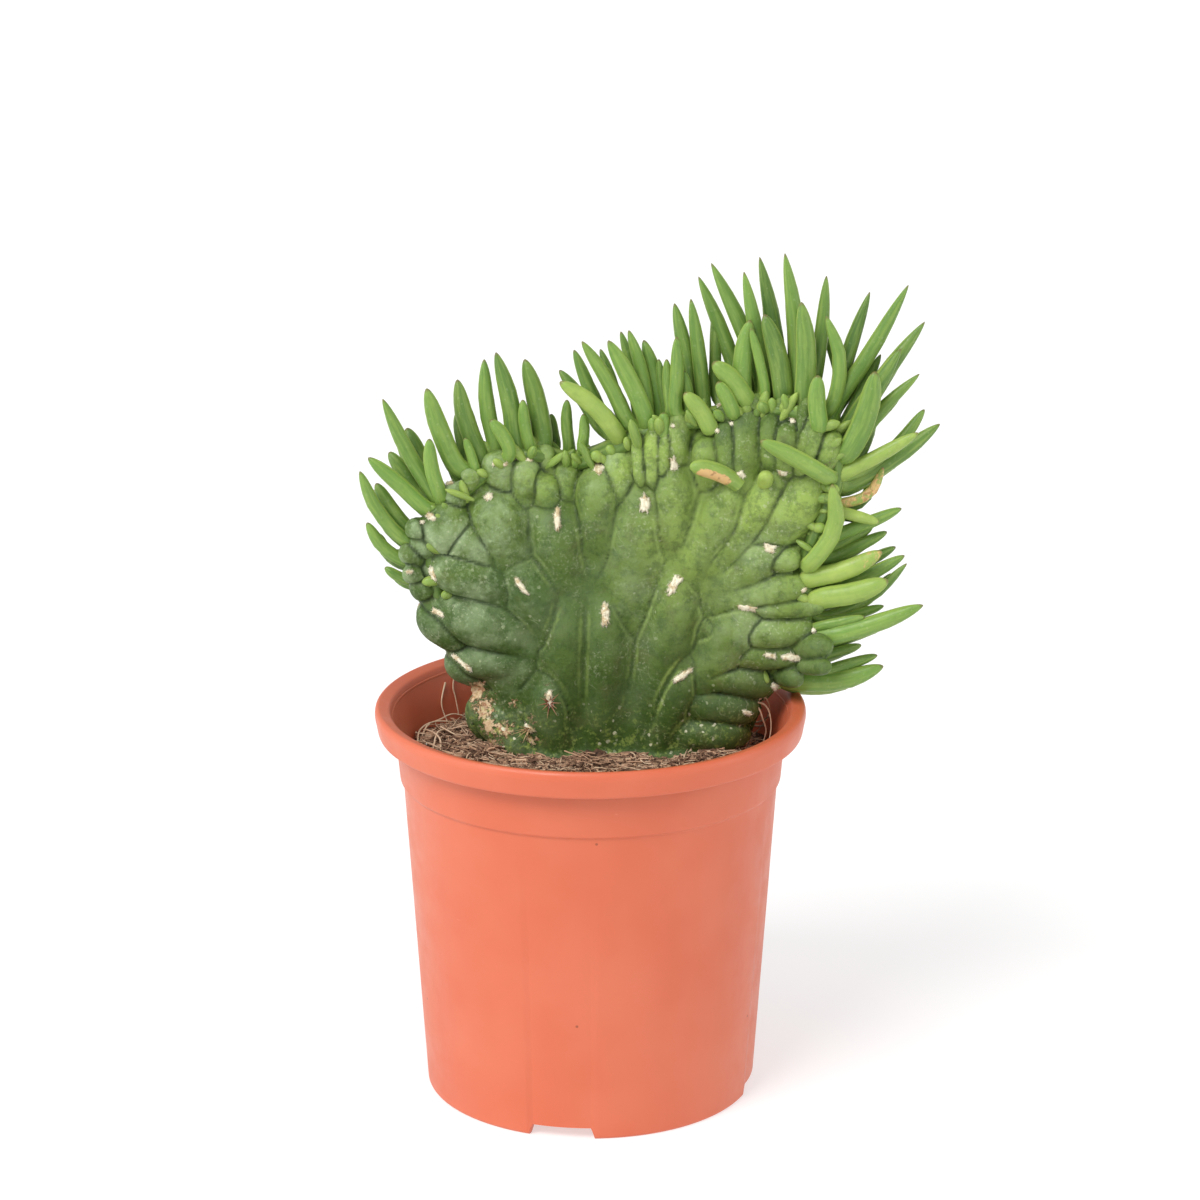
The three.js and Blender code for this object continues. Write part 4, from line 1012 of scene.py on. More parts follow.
def end_tree(tree, geometry, material):
    """Ends a geometry tree: real geometry, smooth shading and its material."""
    real = add(tree, "GeometryNodeRealizeInstances", {0: geometry})
    shaded = add(tree, "GeometryNodeSetShadeSmooth", {0: real})
    painted = add(tree, "GeometryNodeSetMaterial", {0: shaded, 2: material})
    add(tree, "NodeGroupOutput", {0: painted}, None)
    return tree


def baked(source, name, tree, values):
    """The tree's result on source, with its named inputs set, as a new plain mesh object."""
    modifier = source.modifiers.new(tree.name, "NODES")
    modifier.node_group = tree
    for item in tree.interface.items_tree:
        if item.in_out == "INPUT" and item.name in values:
            modifier[item.identifier] = values[item.name]
    depsgraph = bpy.context.evaluated_depsgraph_get()
    mesh = bpy.data.meshes.new_from_object(source.evaluated_get(depsgraph))
    bpy.data.objects.remove(source)
    mesh.name = name
    return placed(name, mesh)


def limb_tree():
    """Sweeps a round section, flattened in depth, along each path, at the path's own girth."""
    tree, given = new_tree("Fleshy limbs", {
        "Sides": ("NodeSocketInt", 16), "Depth share": ("NodeSocketFloat", 1.0),
        "Material": ("NodeSocketMaterial", None)})
    facing, girth = (
        add(tree, "GeometryNodeInputNamedAttribute", {"Name": name}, data_type=kind)
        for name, kind in (("facing", "FLOAT_VECTOR"), ("girth", "FLOAT")))
    curve = add(tree, "GeometryNodeMeshToCurve", {0: given["Geometry"]})
    curve = {"Curve": curve, "Normal": facing}
    curve = add(tree, "GeometryNodeSetCurveNormal", curve, mode="FREE")
    ring = {"Resolution": given["Sides"], "Radius": 1.0}
    ring = add(tree, "GeometryNodeCurvePrimitiveCircle", ring)
    # Where each point stands round the section, for markings that run lengthwise
    spot = add(tree, "GeometryNodeInputPosition")
    spot = add(tree, "ShaderNodeSeparateXYZ", {0: spot}, None)
    for label, value in (("across", spot[1]), ("outer", spot[0])):
        ring = add(tree, "GeometryNodeStoreNamedAttribute",
                   {"Geometry": ring, "Name": label, "Value": value})
    size = add(tree, "ShaderNodeCombineXYZ", {0: given["Depth share"], 1: 1.0, 2: 1.0})
    ring = add(tree, "GeometryNodeTransform", {"Geometry": ring, "Scale": size})
    body = {"Curve": curve, "Profile Curve": ring, "Scale": girth, "Fill Caps": True}
    body = add(tree, "GeometryNodeCurveToMesh", body)
    return end_tree(tree, body, given["Material"])


def sweep(name, limbs, sides, material):
    """Limbs as one plain mesh. All have the depth share of the first."""
    source = limb_paths(name + "_paths", limbs)
    values = {"Sides": sides, "Depth share": float(limbs[0]["deep"]), "Material": material}
    return baked(source, name, shared_tree("Fleshy limbs", limb_tree), values)


def shared_tree(name, maker):
    """The tree of that name, which is made the first time."""
    return bpy.data.node_groups.get(name) or maker()


def joined(name, objects):
    """Joins objects' meshes into the first, under one name."""
    with bpy.context.temp_override(active_object=objects[0], selected_editable_objects=objects):
        bpy.ops.object.join()
    objects[0].name = objects[0].data.name = name
    return objects[0]


def vectors(items, key):
    """The coordinates or normals of a mesh's points, one row each."""
    values = np.empty(len(items) * 3, np.float32)
    items.foreach_get(key, values)
    return values.reshape(-1, 3).astype(float)


def set_mark(mesh, name, values):
    """Writes a float attribute of the mesh's points, which a material reads."""
    layer = mesh.attributes.get(name) or mesh.attributes.new(name, "FLOAT", "POINT")
    layer.data.foreach_set("value", np.asarray(values, np.float32))


def settled(piece, material, replaced=()):
    """Gives a finished piece its material and its place in the frame."""
    if not piece.data.materials:
        piece.data.materials.append(material)
    piece.data.shade_smooth()
    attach(piece, "root")
    if replaced:
        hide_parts(*replaced)
    return piece


def flattened(piece, modifiers):
    """Applies modifiers given as (kind, settings), so that the piece ends as a plain mesh."""
    for kind, settings in modifiers:
        modifier = piece.modifiers.new(kind.title(), kind)
        for key, value in settings.items():
            setattr(modifier, key, value)
    depsgraph = bpy.context.evaluated_depsgraph_get()
    mesh = bpy.data.meshes.new_from_object(piece.evaluated_get(depsgraph))
    piece.modifiers.clear()
    piece.data = mesh
    return piece


# Stem

MERGE_ROUNDS = 24
FAN_RAYS = 60
FAN_LEVELS = 22
FOOT_SIDES = 48
# A distance in millimetres that no point of the plant is from its nearest tubercle
FAR_OFF = 99.0


def fan_core():
    """The bare fan under the tubercles: rays from the foot to the crest, on front and back."""
    ray = np.linspace(0, 1, FAN_RAYS + 1)[:, None]
    level = np.linspace(0, 1, FAN_LEVELS + 1)[None, :]
    end, _ = crest_places(ray[:, 0])
    t = 1 - (1 - level) ** 1.5
    foot_x = STEM_FOOT_LEFT + (STEM_FOOT_RIGHT - STEM_FOOT_LEFT) * ray
    x = foot_x + (end[:, :1] - foot_x) * t
    z = STEM_FOOT_Z + (end[:, 1:] - STEM_FOOT_Z) * t
    half = np.maximum(half_thickness(x, z) - CORE_SINK, THINNEST_CORE)
    half[[0, -1], :] = 0
    half[:, -1] = 0
    middle = middle_depth(x, z)
    points = np.concatenate([sight(x, z, middle + side * half).reshape(-1, 3) for side in (-1, 1)])
    wide, rear = FAN_LEVELS + 1, (FAN_RAYS + 1) * (FAN_LEVELS + 1)
    faces = []
    for i in range(FAN_RAYS):
        for j in range(FAN_LEVELS):
            a, b = i * wide + j, (i + 1) * wide + j
            faces.append((a, b, b + 1, a + 1))
            faces.append((rear + a, rear + a + 1, rear + b + 1, rear + b))
        a, b = i * wide, (i + 1) * wide
        faces.append((a, rear + a, rear + b, b))
    core = mesh_object("stem_core", points, faces)
    return flattened(core, [("WELD", {"merge_threshold": 0.01 * MM})])


def stem_foot():
    """The plain foot that stands in the soil."""
    around = np.linspace(0, 2 * math.pi, FOOT_SIDES, endpoint=False)
    middle_x = (STEM_FOOT_LEFT + STEM_FOOT_RIGHT) / 2
    x = middle_x + (STEM_FOOT_RIGHT - STEM_FOOT_LEFT) / 2 * np.cos(around)
    y = middle_depth(middle_x, STEM_FOOT_Z) + BASE_HALF_THICKNESS * np.sin(around)
    return prism("stem_foot", list(zip(x, y)), (STEM_FOOT_Z, SOIL_Z))


def nearness(points, item):
    """For points near a limb: their indices, distance to its surface (below 0 inside), share along
    it, and direction away from its axis."""
    scale = np.array([1, 1 / item["deep"], 1])
    path, girth = item["path"] * scale, item["girth"]
    places = points * scale
    reach = girth.max() + 4
    low, high = path.min(axis=0) - reach, path.max(axis=0) + reach
    near = np.flatnonzero(np.all((places > low) & (places < high), axis=1))
    at = places[near]
    best, share, axis = np.full(len(near), FAR_OFF), np.zeros(len(near)), at.copy()
    for k in range(len(path) - 1):
        run = path[k + 1] - path[k]
        t = np.clip((at - path[k]) @ run / (run @ run), 0, 1)
        middle = path[k] + t[:, None] * run
        found = np.linalg.norm(at - middle, axis=1) - girth[k] - (girth[k + 1] - girth[k]) * t
        closer = found < best
        best[closer], axis[closer] = found[closer], middle[closer]
        share[closer] = (k + t[closer]) / (len(path) - 1)
    away = at - axis
    away /= np.maximum(np.linalg.norm(away, axis=1), 1e-6)[:, None]
    return near, best, share, away


def spot_field(x, z, spots):
    """Soft patches on the front view: 1 in the middle of each, 0 away from them."""
    value = np.zeros(len(x))
    for spot_x, spot_z, half_x, half_z, *strength in spots:
        patch = bell(np.hypot((x - spot_x) / half_x, (z - spot_z) / half_z))
        value = np.maximum(value, patch * (strength[0] if strength else 1))
    return value


def seams(points, limbs):
    """Where each point lies among the limbs: its distance to the seam between the two nearest,
    its share along the nearest, and the nearest one's tone."""
    count = len(points)
    first, second = np.full(count, FAR_OFF), np.full(count, FAR_OFF)
    first_away, second_away = np.zeros((count, 3)), np.zeros((count, 3))
    share, tone = np.ones(count), np.full(count, 0.5)
    for item in limbs:
        near, found, along, away = nearness(points, item)
        closer = found < first[near]
        between = ~closer & (found < second[near])
        moved = near[closer]
        second[moved], second_away[moved] = first[moved], first_away[moved]
        first[moved], first_away[moved] = found[closer], away[closer]
        share[moved], tone[moved] = along[closer], item["marks"]["tone"]
        second[near[between]], second_away[near[between]] = found[between], away[between]
    # Two limbs that lie flush have no seam, so the difference counts against how they diverge
    spread = np.linalg.norm(second_away - first_away, axis=1)
    seam = (second - first) / np.maximum(spread, 0.2) + 6 * smooth((0.5 - spread) / 0.3)
    return seam + 9 * (first > 3), share, tone


def relaxed(mesh, points, weight, rounds):
    """Moves each point towards the middle of its neighbours, as far as its weight says."""
    edges = np.empty(len(mesh.edges) * 2, np.int64)
    mesh.edges.foreach_get("vertices", edges)
    a, b = edges.reshape(-1, 2).T
    degree = np.maximum(np.bincount(edges, minlength=len(points)), 1)
    for _ in range(rounds):
        total = np.stack([np.bincount(a, column[b], len(points)) + np.bincount(b, column[a], len(points))
                          for column in points.T], axis=1)
        points = points + weight[:, None] * (total / degree[:, None] - points)
    return points


def mark_skin(mesh, limbs, crease_depth):
    """Merges the roots, draws the creases in, and writes what the skin's material reads."""
    points = vectors(mesh.vertices, "co") / MM
    seam, share, tone = seams(points, limbs)
    x, z = front_view(points)
    edge = edge_distance(x, z)
    inner, heart = smooth((edge - 8) / 16), smooth((edge - 13) / 9) * smooth((154 - z) / 14)
    weight = 0.6 * np.maximum(inner * smooth((0.85 - share) / 0.6), 0.9 * heart)
    points = relaxed(mesh, points, weight, MERGE_ROUNDS)
    middle = middle_depth(x, z)
    face = np.maximum(half_thickness(x, z), CREST_FACE)
    # Well inside the fan, ribs run on under each other: roots and ends leave only a faint line
    middle_part = smooth((share - 0.25) / 0.25) * smooth((0.88 - share) / 0.14)
    sharp = (1 - inner * (0.88 - 0.5 * middle_part)) * (1 - heart * (1 - middle_part))
    # crease and furrow draw the skin in along the seams, and mark where the material paints shade: a thin
    # dark line, and a broad soft band inside the fan
    crease = smooth(1 - seam / 0.75) * sharp
    furrow = smooth(1 - seam / 2.8) * inner * (0.25 + 0.75 * middle_part)
    # valley: the painted highlight beside each seam, stronger towards the right and on the front
    valley = bell((seam - 0.95) / 0.35) * inner * middle_part * (0.45 + 0.55 * smooth((x - 6) / 12))
    # hollow: painted shade deep in the fan, where the skin lies near the fan's middle
    hollow = smooth((face - np.abs(points[:, 1] - middle) - 1.6) / 4) * (edge > 5)
    front = points[:, 1] < middle
    valley = valley * (0.35 + 0.65 * front)
    age = 0.1 + 0.52 * smooth((z - 126) / 45) + 0.3 * smooth((x - 8) / 40) * smooth((z - 98) / 30)
    # The shade spots paint shade near the soil, under the left lobes and below the crown's leaves
    age = age + 0.45 * spot_field(x, z, LIGHT_SPOTS) * front - 0.35 * spot_field(x, z, SHADE_SPOTS)
    halos = [((x1 + x2) / 2, (z1 + z2) / 2, 4.5, 5.5) for x1, z1, x2, z2, _ in AREOLES]
    age = age - 0.26 * spot_field(x, z, halos) * front * smooth((z - 132) / 8)
    mesh.vertices.foreach_set("co", (points * MM).astype(np.float32).ravel())
    mesh.update()
    drawn_in = crease_depth / MM * (crease + 0.5 * furrow) * smooth((z - 84) / 4)
    shift = vectors(mesh.vertex_normals, "vector") * drawn_in[:, None]
    mesh.vertices.foreach_set("co", ((points - shift) * MM).astype(np.float32).ravel())
    # The bloom is thickest on the left lobes and the top, and lies in spots on the ribs
    left_bloom = 0.78 * smooth((-5 - x) / 20) * (0.5 + 0.5 * smooth((z - 116) / 16))
    top_bloom = 0.4 * smooth((z - 148) / 8) * smooth((14 - x) / 10)
    rib_bloom = spot_field(x, z, BLOOM_SPOTS) * front
    marks = {
        "crease": np.maximum(crease, 0.42 * furrow), "valley": valley, "hollow": hollow,
        "tone": tone, "age": np.clip(age, 0, 1),
        "bloom": 0.12 + np.maximum(np.maximum(left_bloom, top_bloom), rib_bloom),
        "cork": spot_field(x, z, CORK) * front,
        "splash": smooth((103 - points[:, 2]) / 14) * (0.75 + 0.55 * smooth((-6 - x) / 10)),
    }
    for name, values in marks.items():
        set_mark(mesh, name, values)
    mesh.update()


def make_stem(sizes, colours):
    """Fuses the tubercles, the fan and the foot into one skin."""
    skin = cactus_skin(colours)
    limbs = tubercles()
    ribs = sweep("stem_ribs", limbs, 20, skin)
    stem = joined("stem_skin", [ribs, fan_core(), stem_foot()])
    voxel = sizes.skin_voxel * 1
    flattened(stem, [
        ("REMESH", {"mode": "VOXEL", "voxel_size": voxel}),
        ("SMOOTH", {"factor": 0.5, "iterations": 4}),
    ])
    stem.data.materials.clear()
    mark_skin(stem.data, limbs, sizes.crease_depth)
    return settled(stem, skin, ["stem"])


# Leaves

def spray_limbs(node, swell):
    """A spray's leaves, front and rear, its buds and its strip."""
    strip = crest_strip(node)
    draw = drawer(SEEDS["leaves"] + len(node))
    made = []
    for i, row in enumerate(LEAVES[node]):
        pale, withered = LEAF_MARKS.get((node, i), (0.12 * draw(), 0.0))
        # The rear rows are darker, as painted shade; the rest of the tone is drawn at random
        tone = 0.3 + 0.42 * row[6] + 0.6 * (draw() - 0.5)
        tone = np.clip(tone + 0.5 * ((node, i) in DARK_LEAVES), 0, 1)
        thick = swell * (1 - 0.3 * withered)
        if (node, i) == WITHERED_TIP:
            withered = 0.4 * smooth((LEAF_STEPS - 0.62) / 0.25)
        made.append(leaf(strip, row, thick, tone=tone, pale=pale, withered=withered))
    behind = [row for i, row in enumerate(LEAVES[node]) if i % 2 == 0 and row[6] < 0.5]
    others = [row for row in LEAVES[node] if row not in behind and row[6] < 0.75]
    rear = [rear_leaf(row, i) for i, row in enumerate(behind)]
    rear += [rear_leaf(row, 50 + i) for i, row in enumerate(others)]
    for row in rear:
        made.append(leaf(strip, row, swell, tone=0.3 + 0.6 * draw(), pale=0.2 * draw(), withered=0.0))
    return made, buds(node), strip_limb(node, strip)


def make_leaves(sizes, colours):
    """Sweeps each spray's leaves, buds and strip, and the leaf and bud of the front face."""
    skin = leaf_skin(colours)
    sides = 16
    for node in LEAVES:
        blades, young, strip = spray_limbs(node, sizes.leaf_swell)
        parts = [sweep(node + "_part", limbs, sides, skin) for limbs in (blades, young, [strip])]
        settled(joined(node + "_skin", parts), skin, [node])
    blade = face_limb(FACE_LEAF, 0.45)
    piece = sweep("face_leaf", [blade], sides, skin)
    mark_scar(piece.data, blade["path"])
    settled(piece, skin)
    settled(sweep("face_bud", [face_limb(FACE_BUD, 0.85)], sides, skin), skin)


def face_limb(row, pale):
    """A leaf or bud that grows out of the front face."""
    tip_x, tip_z, base_x, base_z, width, bow, lift = row

    def front(x, z):
        return middle_depth(x, z) - half_thickness(x, z)

    base = sight(base_x, base_z, front(base_x, base_z) - lift)
    tip = sight(tip_x, tip_z, front(tip_x, tip_z) + lift)
    path = bowed(base, tip, bow, LEAF_STEPS)
    girth = leaf_girth(LEAF_STEPS) * width / 2
    return limb(path, girth, LEAF_FLATNESS, share=0.9 * LEAF_STEPS, tone=0.2, pale=pale, withered=0.0)


def mark_scar(mesh, path):
    """A dry scar along the lower edge of the leaf on the face."""
    points = vectors(mesh.vertices, "co") / MM
    nearest = np.argmin(np.linalg.norm(points[:, None] - path[None], axis=2), axis=1)
    share = LEAF_STEPS[nearest]
    below = path[nearest, 2] - points[:, 2]
    length = smooth((share - 0.12) / 0.2) * smooth((0.94 - share) / 0.12)
    set_mark(mesh, "withered", 0.9 * length * smooth((below + 0.7) / 1.1))


# Areoles

def surface_tree(piece):
    """A piece's faces, for lines of sight to meet."""
    mesh = piece.data
    return BVHTree.FromPolygons([v.co for v in mesh.vertices], [p.vertices for p in mesh.polygons])


def felt_pad(points, faces, at, up, along, half_length, half_width):
    """Adds one low, ragged felt pad that lies on the skin."""
    first = len(points)
    along = (along - up * along.dot(up)).normalized()
    across = up.cross(along)
    rings, sides = 4, 18
    lump = drawer(int(abs(at.x * 7e5) + abs(at.z * 3e5)))
    edge = [0.6 + 0.56 * lump() for _ in range(sides)]
    points.append(at + up * 0.5 * MM)
    for ring in range(1, rings + 1):
        r = ring / rings
        for side in range(sides):
            a = 2 * math.pi * side / sides
            far, wide = math.cos(a), math.sin(a)
            far, wide = math.copysign(abs(far) ** 0.68, far), math.copysign(abs(wide) ** 0.68, wide)
            out = (along * far * half_length + across * wide * half_width) * r * edge[side]
            rise = (0.45 * math.sqrt(max(1 - r * r, 0)) + 0.25 * lump() - 0.5 * (ring == rings)) * MM
            points.append(at + out + up * rise)
    for side in range(sides):
        after = (side + 1) % sides
        faces.append((first, first + 1 + side, first + 1 + after))
        for ring in range(rings - 1):
            inner, outer = first + 1 + ring * sides, first + 1 + (ring + 1) * sides
            faces.append((inner + side, outer + side, outer + after, inner + after))
    last = first + 1 + (rings - 1) * sides
    faces.append(tuple(last + s for s in reversed(range(sides))))


# A place in metres behind the plant, from which its back is seen
BEHIND_PLANT = 0.2
HAIR_SLIMNESS = 0.07
HAIRS_PER_SQUARE_METRE = 1.6e7


def felt_tree():
    """Covers pads with short hairs that stand off the pad at odd tilts."""
    tree, given = new_tree("Felt hairs", {
        "Hair length": ("NodeSocketFloat", 0.001), "Hairs": ("NodeSocketFloat", 9e6),
        "Seed": ("NodeSocketInt", 3), "Material": ("NodeSocketMaterial", None)})
    spread = {"Mesh": given["Geometry"], "Density": given["Hairs"], "Seed": given["Seed"]}
    spread = add(tree, "GeometryNodeDistributePointsOnFaces", spread, None)
    thin = {0: given["Hair length"], 1: HAIR_SLIMNESS}
    thin = add(tree, "ShaderNodeMath", thin, operation="MULTIPLY")
    hair = {"Vertices": 3, "Side Segments": 1, "Radius Top": 0.0, "Radius Bottom": thin,
            "Depth": given["Hair length"]}
    hair = add(tree, "GeometryNodeMeshCone", hair, fill_type="TRIANGLE_FAN")
    tilt = {0: (-0.95, -0.95, -3.1), 1: (0.95, 0.95, 3.1), "Seed": given["Seed"]}
    tilt = add(tree, "FunctionNodeRandomValue", tilt, data_type="FLOAT_VECTOR")
    turn = add(tree, "FunctionNodeEulerToRotation", {0: tilt})
    stand = {0: spread["Rotation"], 1: turn}
    stand = add(tree, "FunctionNodeRotateRotation", stand, rotation_space="LOCAL")
    size = {2: 0.45, 3: 1.3, "Seed": 8}
    size = add(tree, "FunctionNodeRandomValue", size, 1, data_type="FLOAT")
    hairs = {"Points": spread["Points"], "Instance": hair, "Rotation": stand, "Scale": size}
    hairs = add(tree, "GeometryNodeInstanceOnPoints", hairs)
    both = add(tree, "GeometryNodeJoinGeometry", {0: hairs})
    tree.links.new(given["Geometry"], both.node.inputs[0])
    return end_tree(tree, both, given["Material"])


def seen_from_front(surface, x, z):
    """Where the line of sight through x, z on the areoles' plane meets the skin, and its normal."""
    start = Vector(EYE * MM)
    towards = (Vector((x, AREOLE_PLANE, z)) * MM - start).normalized()
    at, normal, _, _ = surface.ray_cast(start, towards)
    return at, normal


def place_front_felt(surface, points, faces):
    """The front's areoles lie along the skin, or in the front view's plane at a sudden step."""
    for x1, z1, x2, z2, width in AREOLES:
        at, up = seen_from_front(surface, (x1 + x2) / 2, (z1 + z2) / 2)
        ends = [seen_from_front(surface, x, z)[0] for x, z in ((x1, z1), (x2, z2))]
        if at is None:
            continue
        if None in ends or (ends[0] - ends[1]).length > 3 * MM * math.hypot(x1 - x2, z1 - z2):
            along = Vector((x2 - x1, 0, z2 - z1)).normalized()
        else:
            along = (ends[1] - ends[0]).normalized()
        half_length = math.hypot(x1 - x2, z1 - z2) / 2 * MM + 0.1 * MM
        felt_pad(points, faces, at, up, along, half_length, 0.56 * width * MM)


def place_rear_felt(surface, points, faces, limbs):
    """On the back, most tubercles carry their areole near the tip."""
    draw = drawer(SEEDS["rear felt"])
    for item in limbs:
        girth, path = item["girth"].max(), item["path"]
        if girth < 4.2 or draw() < 0.2 or path[-1][1] < middle_depth(path[-1][0], path[-1][2]):
            continue
        spot, before = Vector(path[-5] * MM), Vector(path[-8] * MM)
        start = Vector((spot.x, BEHIND_PLANT, spot.z))
        at, up, _, _ = surface.ray_cast(start, Vector((0, -1, 0)))
        if at is not None:
            half_length = (1.4 + 1.2 * draw()) * MM
            felt_pad(points, faces, at, up, spot - before, half_length, (0.7 + 0.4 * draw()) * MM)


def place_axil_felt(surface, points, faces):
    """Small tufts between the leaf bases."""
    draw = drawer(SEEDS["axil felt"])
    for node, rows in LEAVES.items():
        for row in rows:
            base_x, base_z = row[2], row[3]
            if draw() < 0.6:
                continue
            at, up = seen_from_front(surface, base_x + 3 * (draw() - 0.5), base_z - 1.5)
            if at is not None:
                felt_pad(points, faces, at, up, Vector((1, 0, 0.3)), (0.5 + 0.5 * draw()) * MM, 0.5 * MM)


def make_spines(surface, colours):
    """Short spines that stand out of a few areoles near the soil."""
    steps = np.linspace(0, 1, 6)
    limbs = []
    draw = drawer(SEEDS["spines"])
    for x, z, number, length, spread, red in SPINES:
        at, up = seen_from_front(surface, x, z)
        if at is None:
            continue
        for i in range(number):
            angle = 2 * math.pi * (i + 0.6 * draw()) / number
            lean = spread * (0.6 + 0.6 * draw())
            side = Vector((math.cos(angle), 0, math.sin(angle)))
            way = (up * math.cos(lean) + side * math.sin(lean)).normalized()
            start = np.array(at) / MM
            path = start + np.outer(steps * length * (0.7 + 0.5 * draw()), np.array(way))
            limbs.append(limb(path, (0.2 + 0.1 * red) * (1.02 - steps), 1.0, tone=red * (1 - 0.6 * steps)))
    material = spine_horn(colours)
    settled(sweep("spines", limbs, 5, material), material)


def make_areoles(sizes, colours):
    """Lays the felt on the finished stem, and sets the spines in it."""
    stem = bpy.data.objects["stem_skin"]
    surface = surface_tree(stem)
    points, faces = [], []
    place_front_felt(surface, points, faces)
    place_rear_felt(surface, points, faces, tubercles())
    place_axil_felt(surface, points, faces)
    pads = mesh_object("felt_pads", np.array([list(p) for p in points]) / MM, faces)
    material = felt_wool(colours)
    hairs = HAIRS_PER_SQUARE_METRE * 1
    values = {"Hair length": sizes.hair_length, "Material": material, "Hairs": hairs}
    felt = baked(pads, "areole_felt", shared_tree("Felt hairs", felt_tree), values)
    settled(felt, material)
    make_spines(surface, colours)


# Soil

def soil_height(x, y):
    """The packed soil's low waves, a little lower at the wall."""
    waves = np.sin(x * 0.21 + 1) * np.cos(y * 0.17) + 0.6 * np.sin(x * 0.47 - y * 0.39)
    dish = 1.4 * smooth((np.hypot(x, y) - 30) / 15)
    return SOIL_Z + SOIL_RELIEF * waves - dish


SOIL_TOP_RADIUS = 45.6
SOIL_RINGS = 62
SOIL_SIDES = 200
# Below its top, the soil's section as radius and height: it fills the pot down to the hub
SOIL_SECTION = [(45.2, 80.4), (44.4, 78.9), (39.1, 5.6), (38.2, 4.95), (14.7, 4.95), (13.3, 1.95)]
# Height of clods of three sizes, and how many of each there are to the millimetre
CLODS = ((0.9, 0.28), (0.7, 0.7), (0.35, 1.7))
# Strewn strands: piece, inner radius in mm, share of the fibres' number and of their length,
# thickness and curl in mm, seed
STRANDS = [
    ("peat_fibres", 6, 1.0, 1.0, 0.2, 5, 2),
    ("peat_slivers", 6, 0.6, 0.6, 0.38, 3, 7),
    ("surface_roots", 10, 0.12, 1.9, 0.17, 9, 12),
]
LITTER_RADIUS = 44
LITTER_RISE = 0.25
# The ellipse round the stem's foot on which nothing is strewn
FOOT_DEPTH = 8
BARE_HALF_WIDTH = 27
BARE_HALF_DEPTH = 11
# Strewn crumbs: piece, inner and outer radius in mm, number to the square metre, size in mm, seed
CRUMBS = [("peat_crumbs", 8, 44, 1.3e5, 0.9, 3), ("perlite_grains", 14, 43, 1.4e4, 0.55, 6)]
ROOT_STEPS = 24
ROOT_RADIUS = 0.26


def crumble(x, y):
    """Small clods and pits on the soil, in millimetres of height."""
    place = Vector((x, y, 0))
    return sum(height * noise.noise(place * pitch) for height, pitch in CLODS)


def soil_body():
    """The filling of the pot: a crumbly top on a plain tapered body."""
    points = [(0.0, 0.0, float(soil_height(0, 0) + crumble(0, 0)))]
    around = [2 * math.pi * s / SOIL_SIDES for s in range(SOIL_SIDES)]
    for ring in range(1, SOIL_RINGS + 1):
        radius = SOIL_TOP_RADIUS * ring / SOIL_RINGS
        for a in around:
            x, y = radius * math.cos(a), radius * math.sin(a)
            points.append((x, y, float(soil_height(x, y) + crumble(x, y))))
    for radius, z in SOIL_SECTION:
        points += [(radius * math.cos(a), radius * math.sin(a), z) for a in around]
    points.append((0, 0, SOIL_SECTION[-1][1]))
    rings = SOIL_RINGS + len(SOIL_SECTION)
    faces = [(0, 1 + s, 1 + (s + 1) % SOIL_SIDES) for s in range(SOIL_SIDES)]
    for ring in range(rings - 1):
        inner, outer = 1 + ring * SOIL_SIDES, 1 + (ring + 1) * SOIL_SIDES
        for s in range(SOIL_SIDES):
            after = (s + 1) % SOIL_SIDES
            faces.append((inner + s, outer + s, outer + after, inner + after))
    last, bottom = 1 + (rings - 1) * SOIL_SIDES, len(points) - 1
    faces += [(bottom, last + (s + 1) % SOIL_SIDES, last + s) for s in range(SOIL_SIDES)]
    return mesh_object("soil_body", points, faces)


def litter_base(inner_radius, outer_radius):
    """A copy of the soil's top between two radii, without the stem's foot, to scatter on."""
    points, faces = [], []
    rings, sides = 24, 72
    for ring in range(rings + 1):
        radius = inner_radius + (outer_radius - inner_radius) * ring / rings
        for s in range(sides):
            a = 2 * math.pi * s / sides
            x, y = radius * math.cos(a), radius * math.sin(a)
            points.append((x, y, float(soil_height(x, y) + crumble(x, y)) + LITTER_RISE))
    foot_x = (STEM_FOOT_LEFT + STEM_FOOT_RIGHT) / 2
    for ring in range(rings):
        for s in range(sides):
            inner, after = ring * sides, (s + 1) % sides
            outer = inner + sides
            x, y, _ = points[inner + s]
            if math.hypot((x - foot_x) / BARE_HALF_WIDTH, (y - FOOT_DEPTH) / BARE_HALF_DEPTH) > 1:
                faces.append((inner + s, outer + s, outer + after, inner + after))
    return mesh_object("litter_base", points, faces)


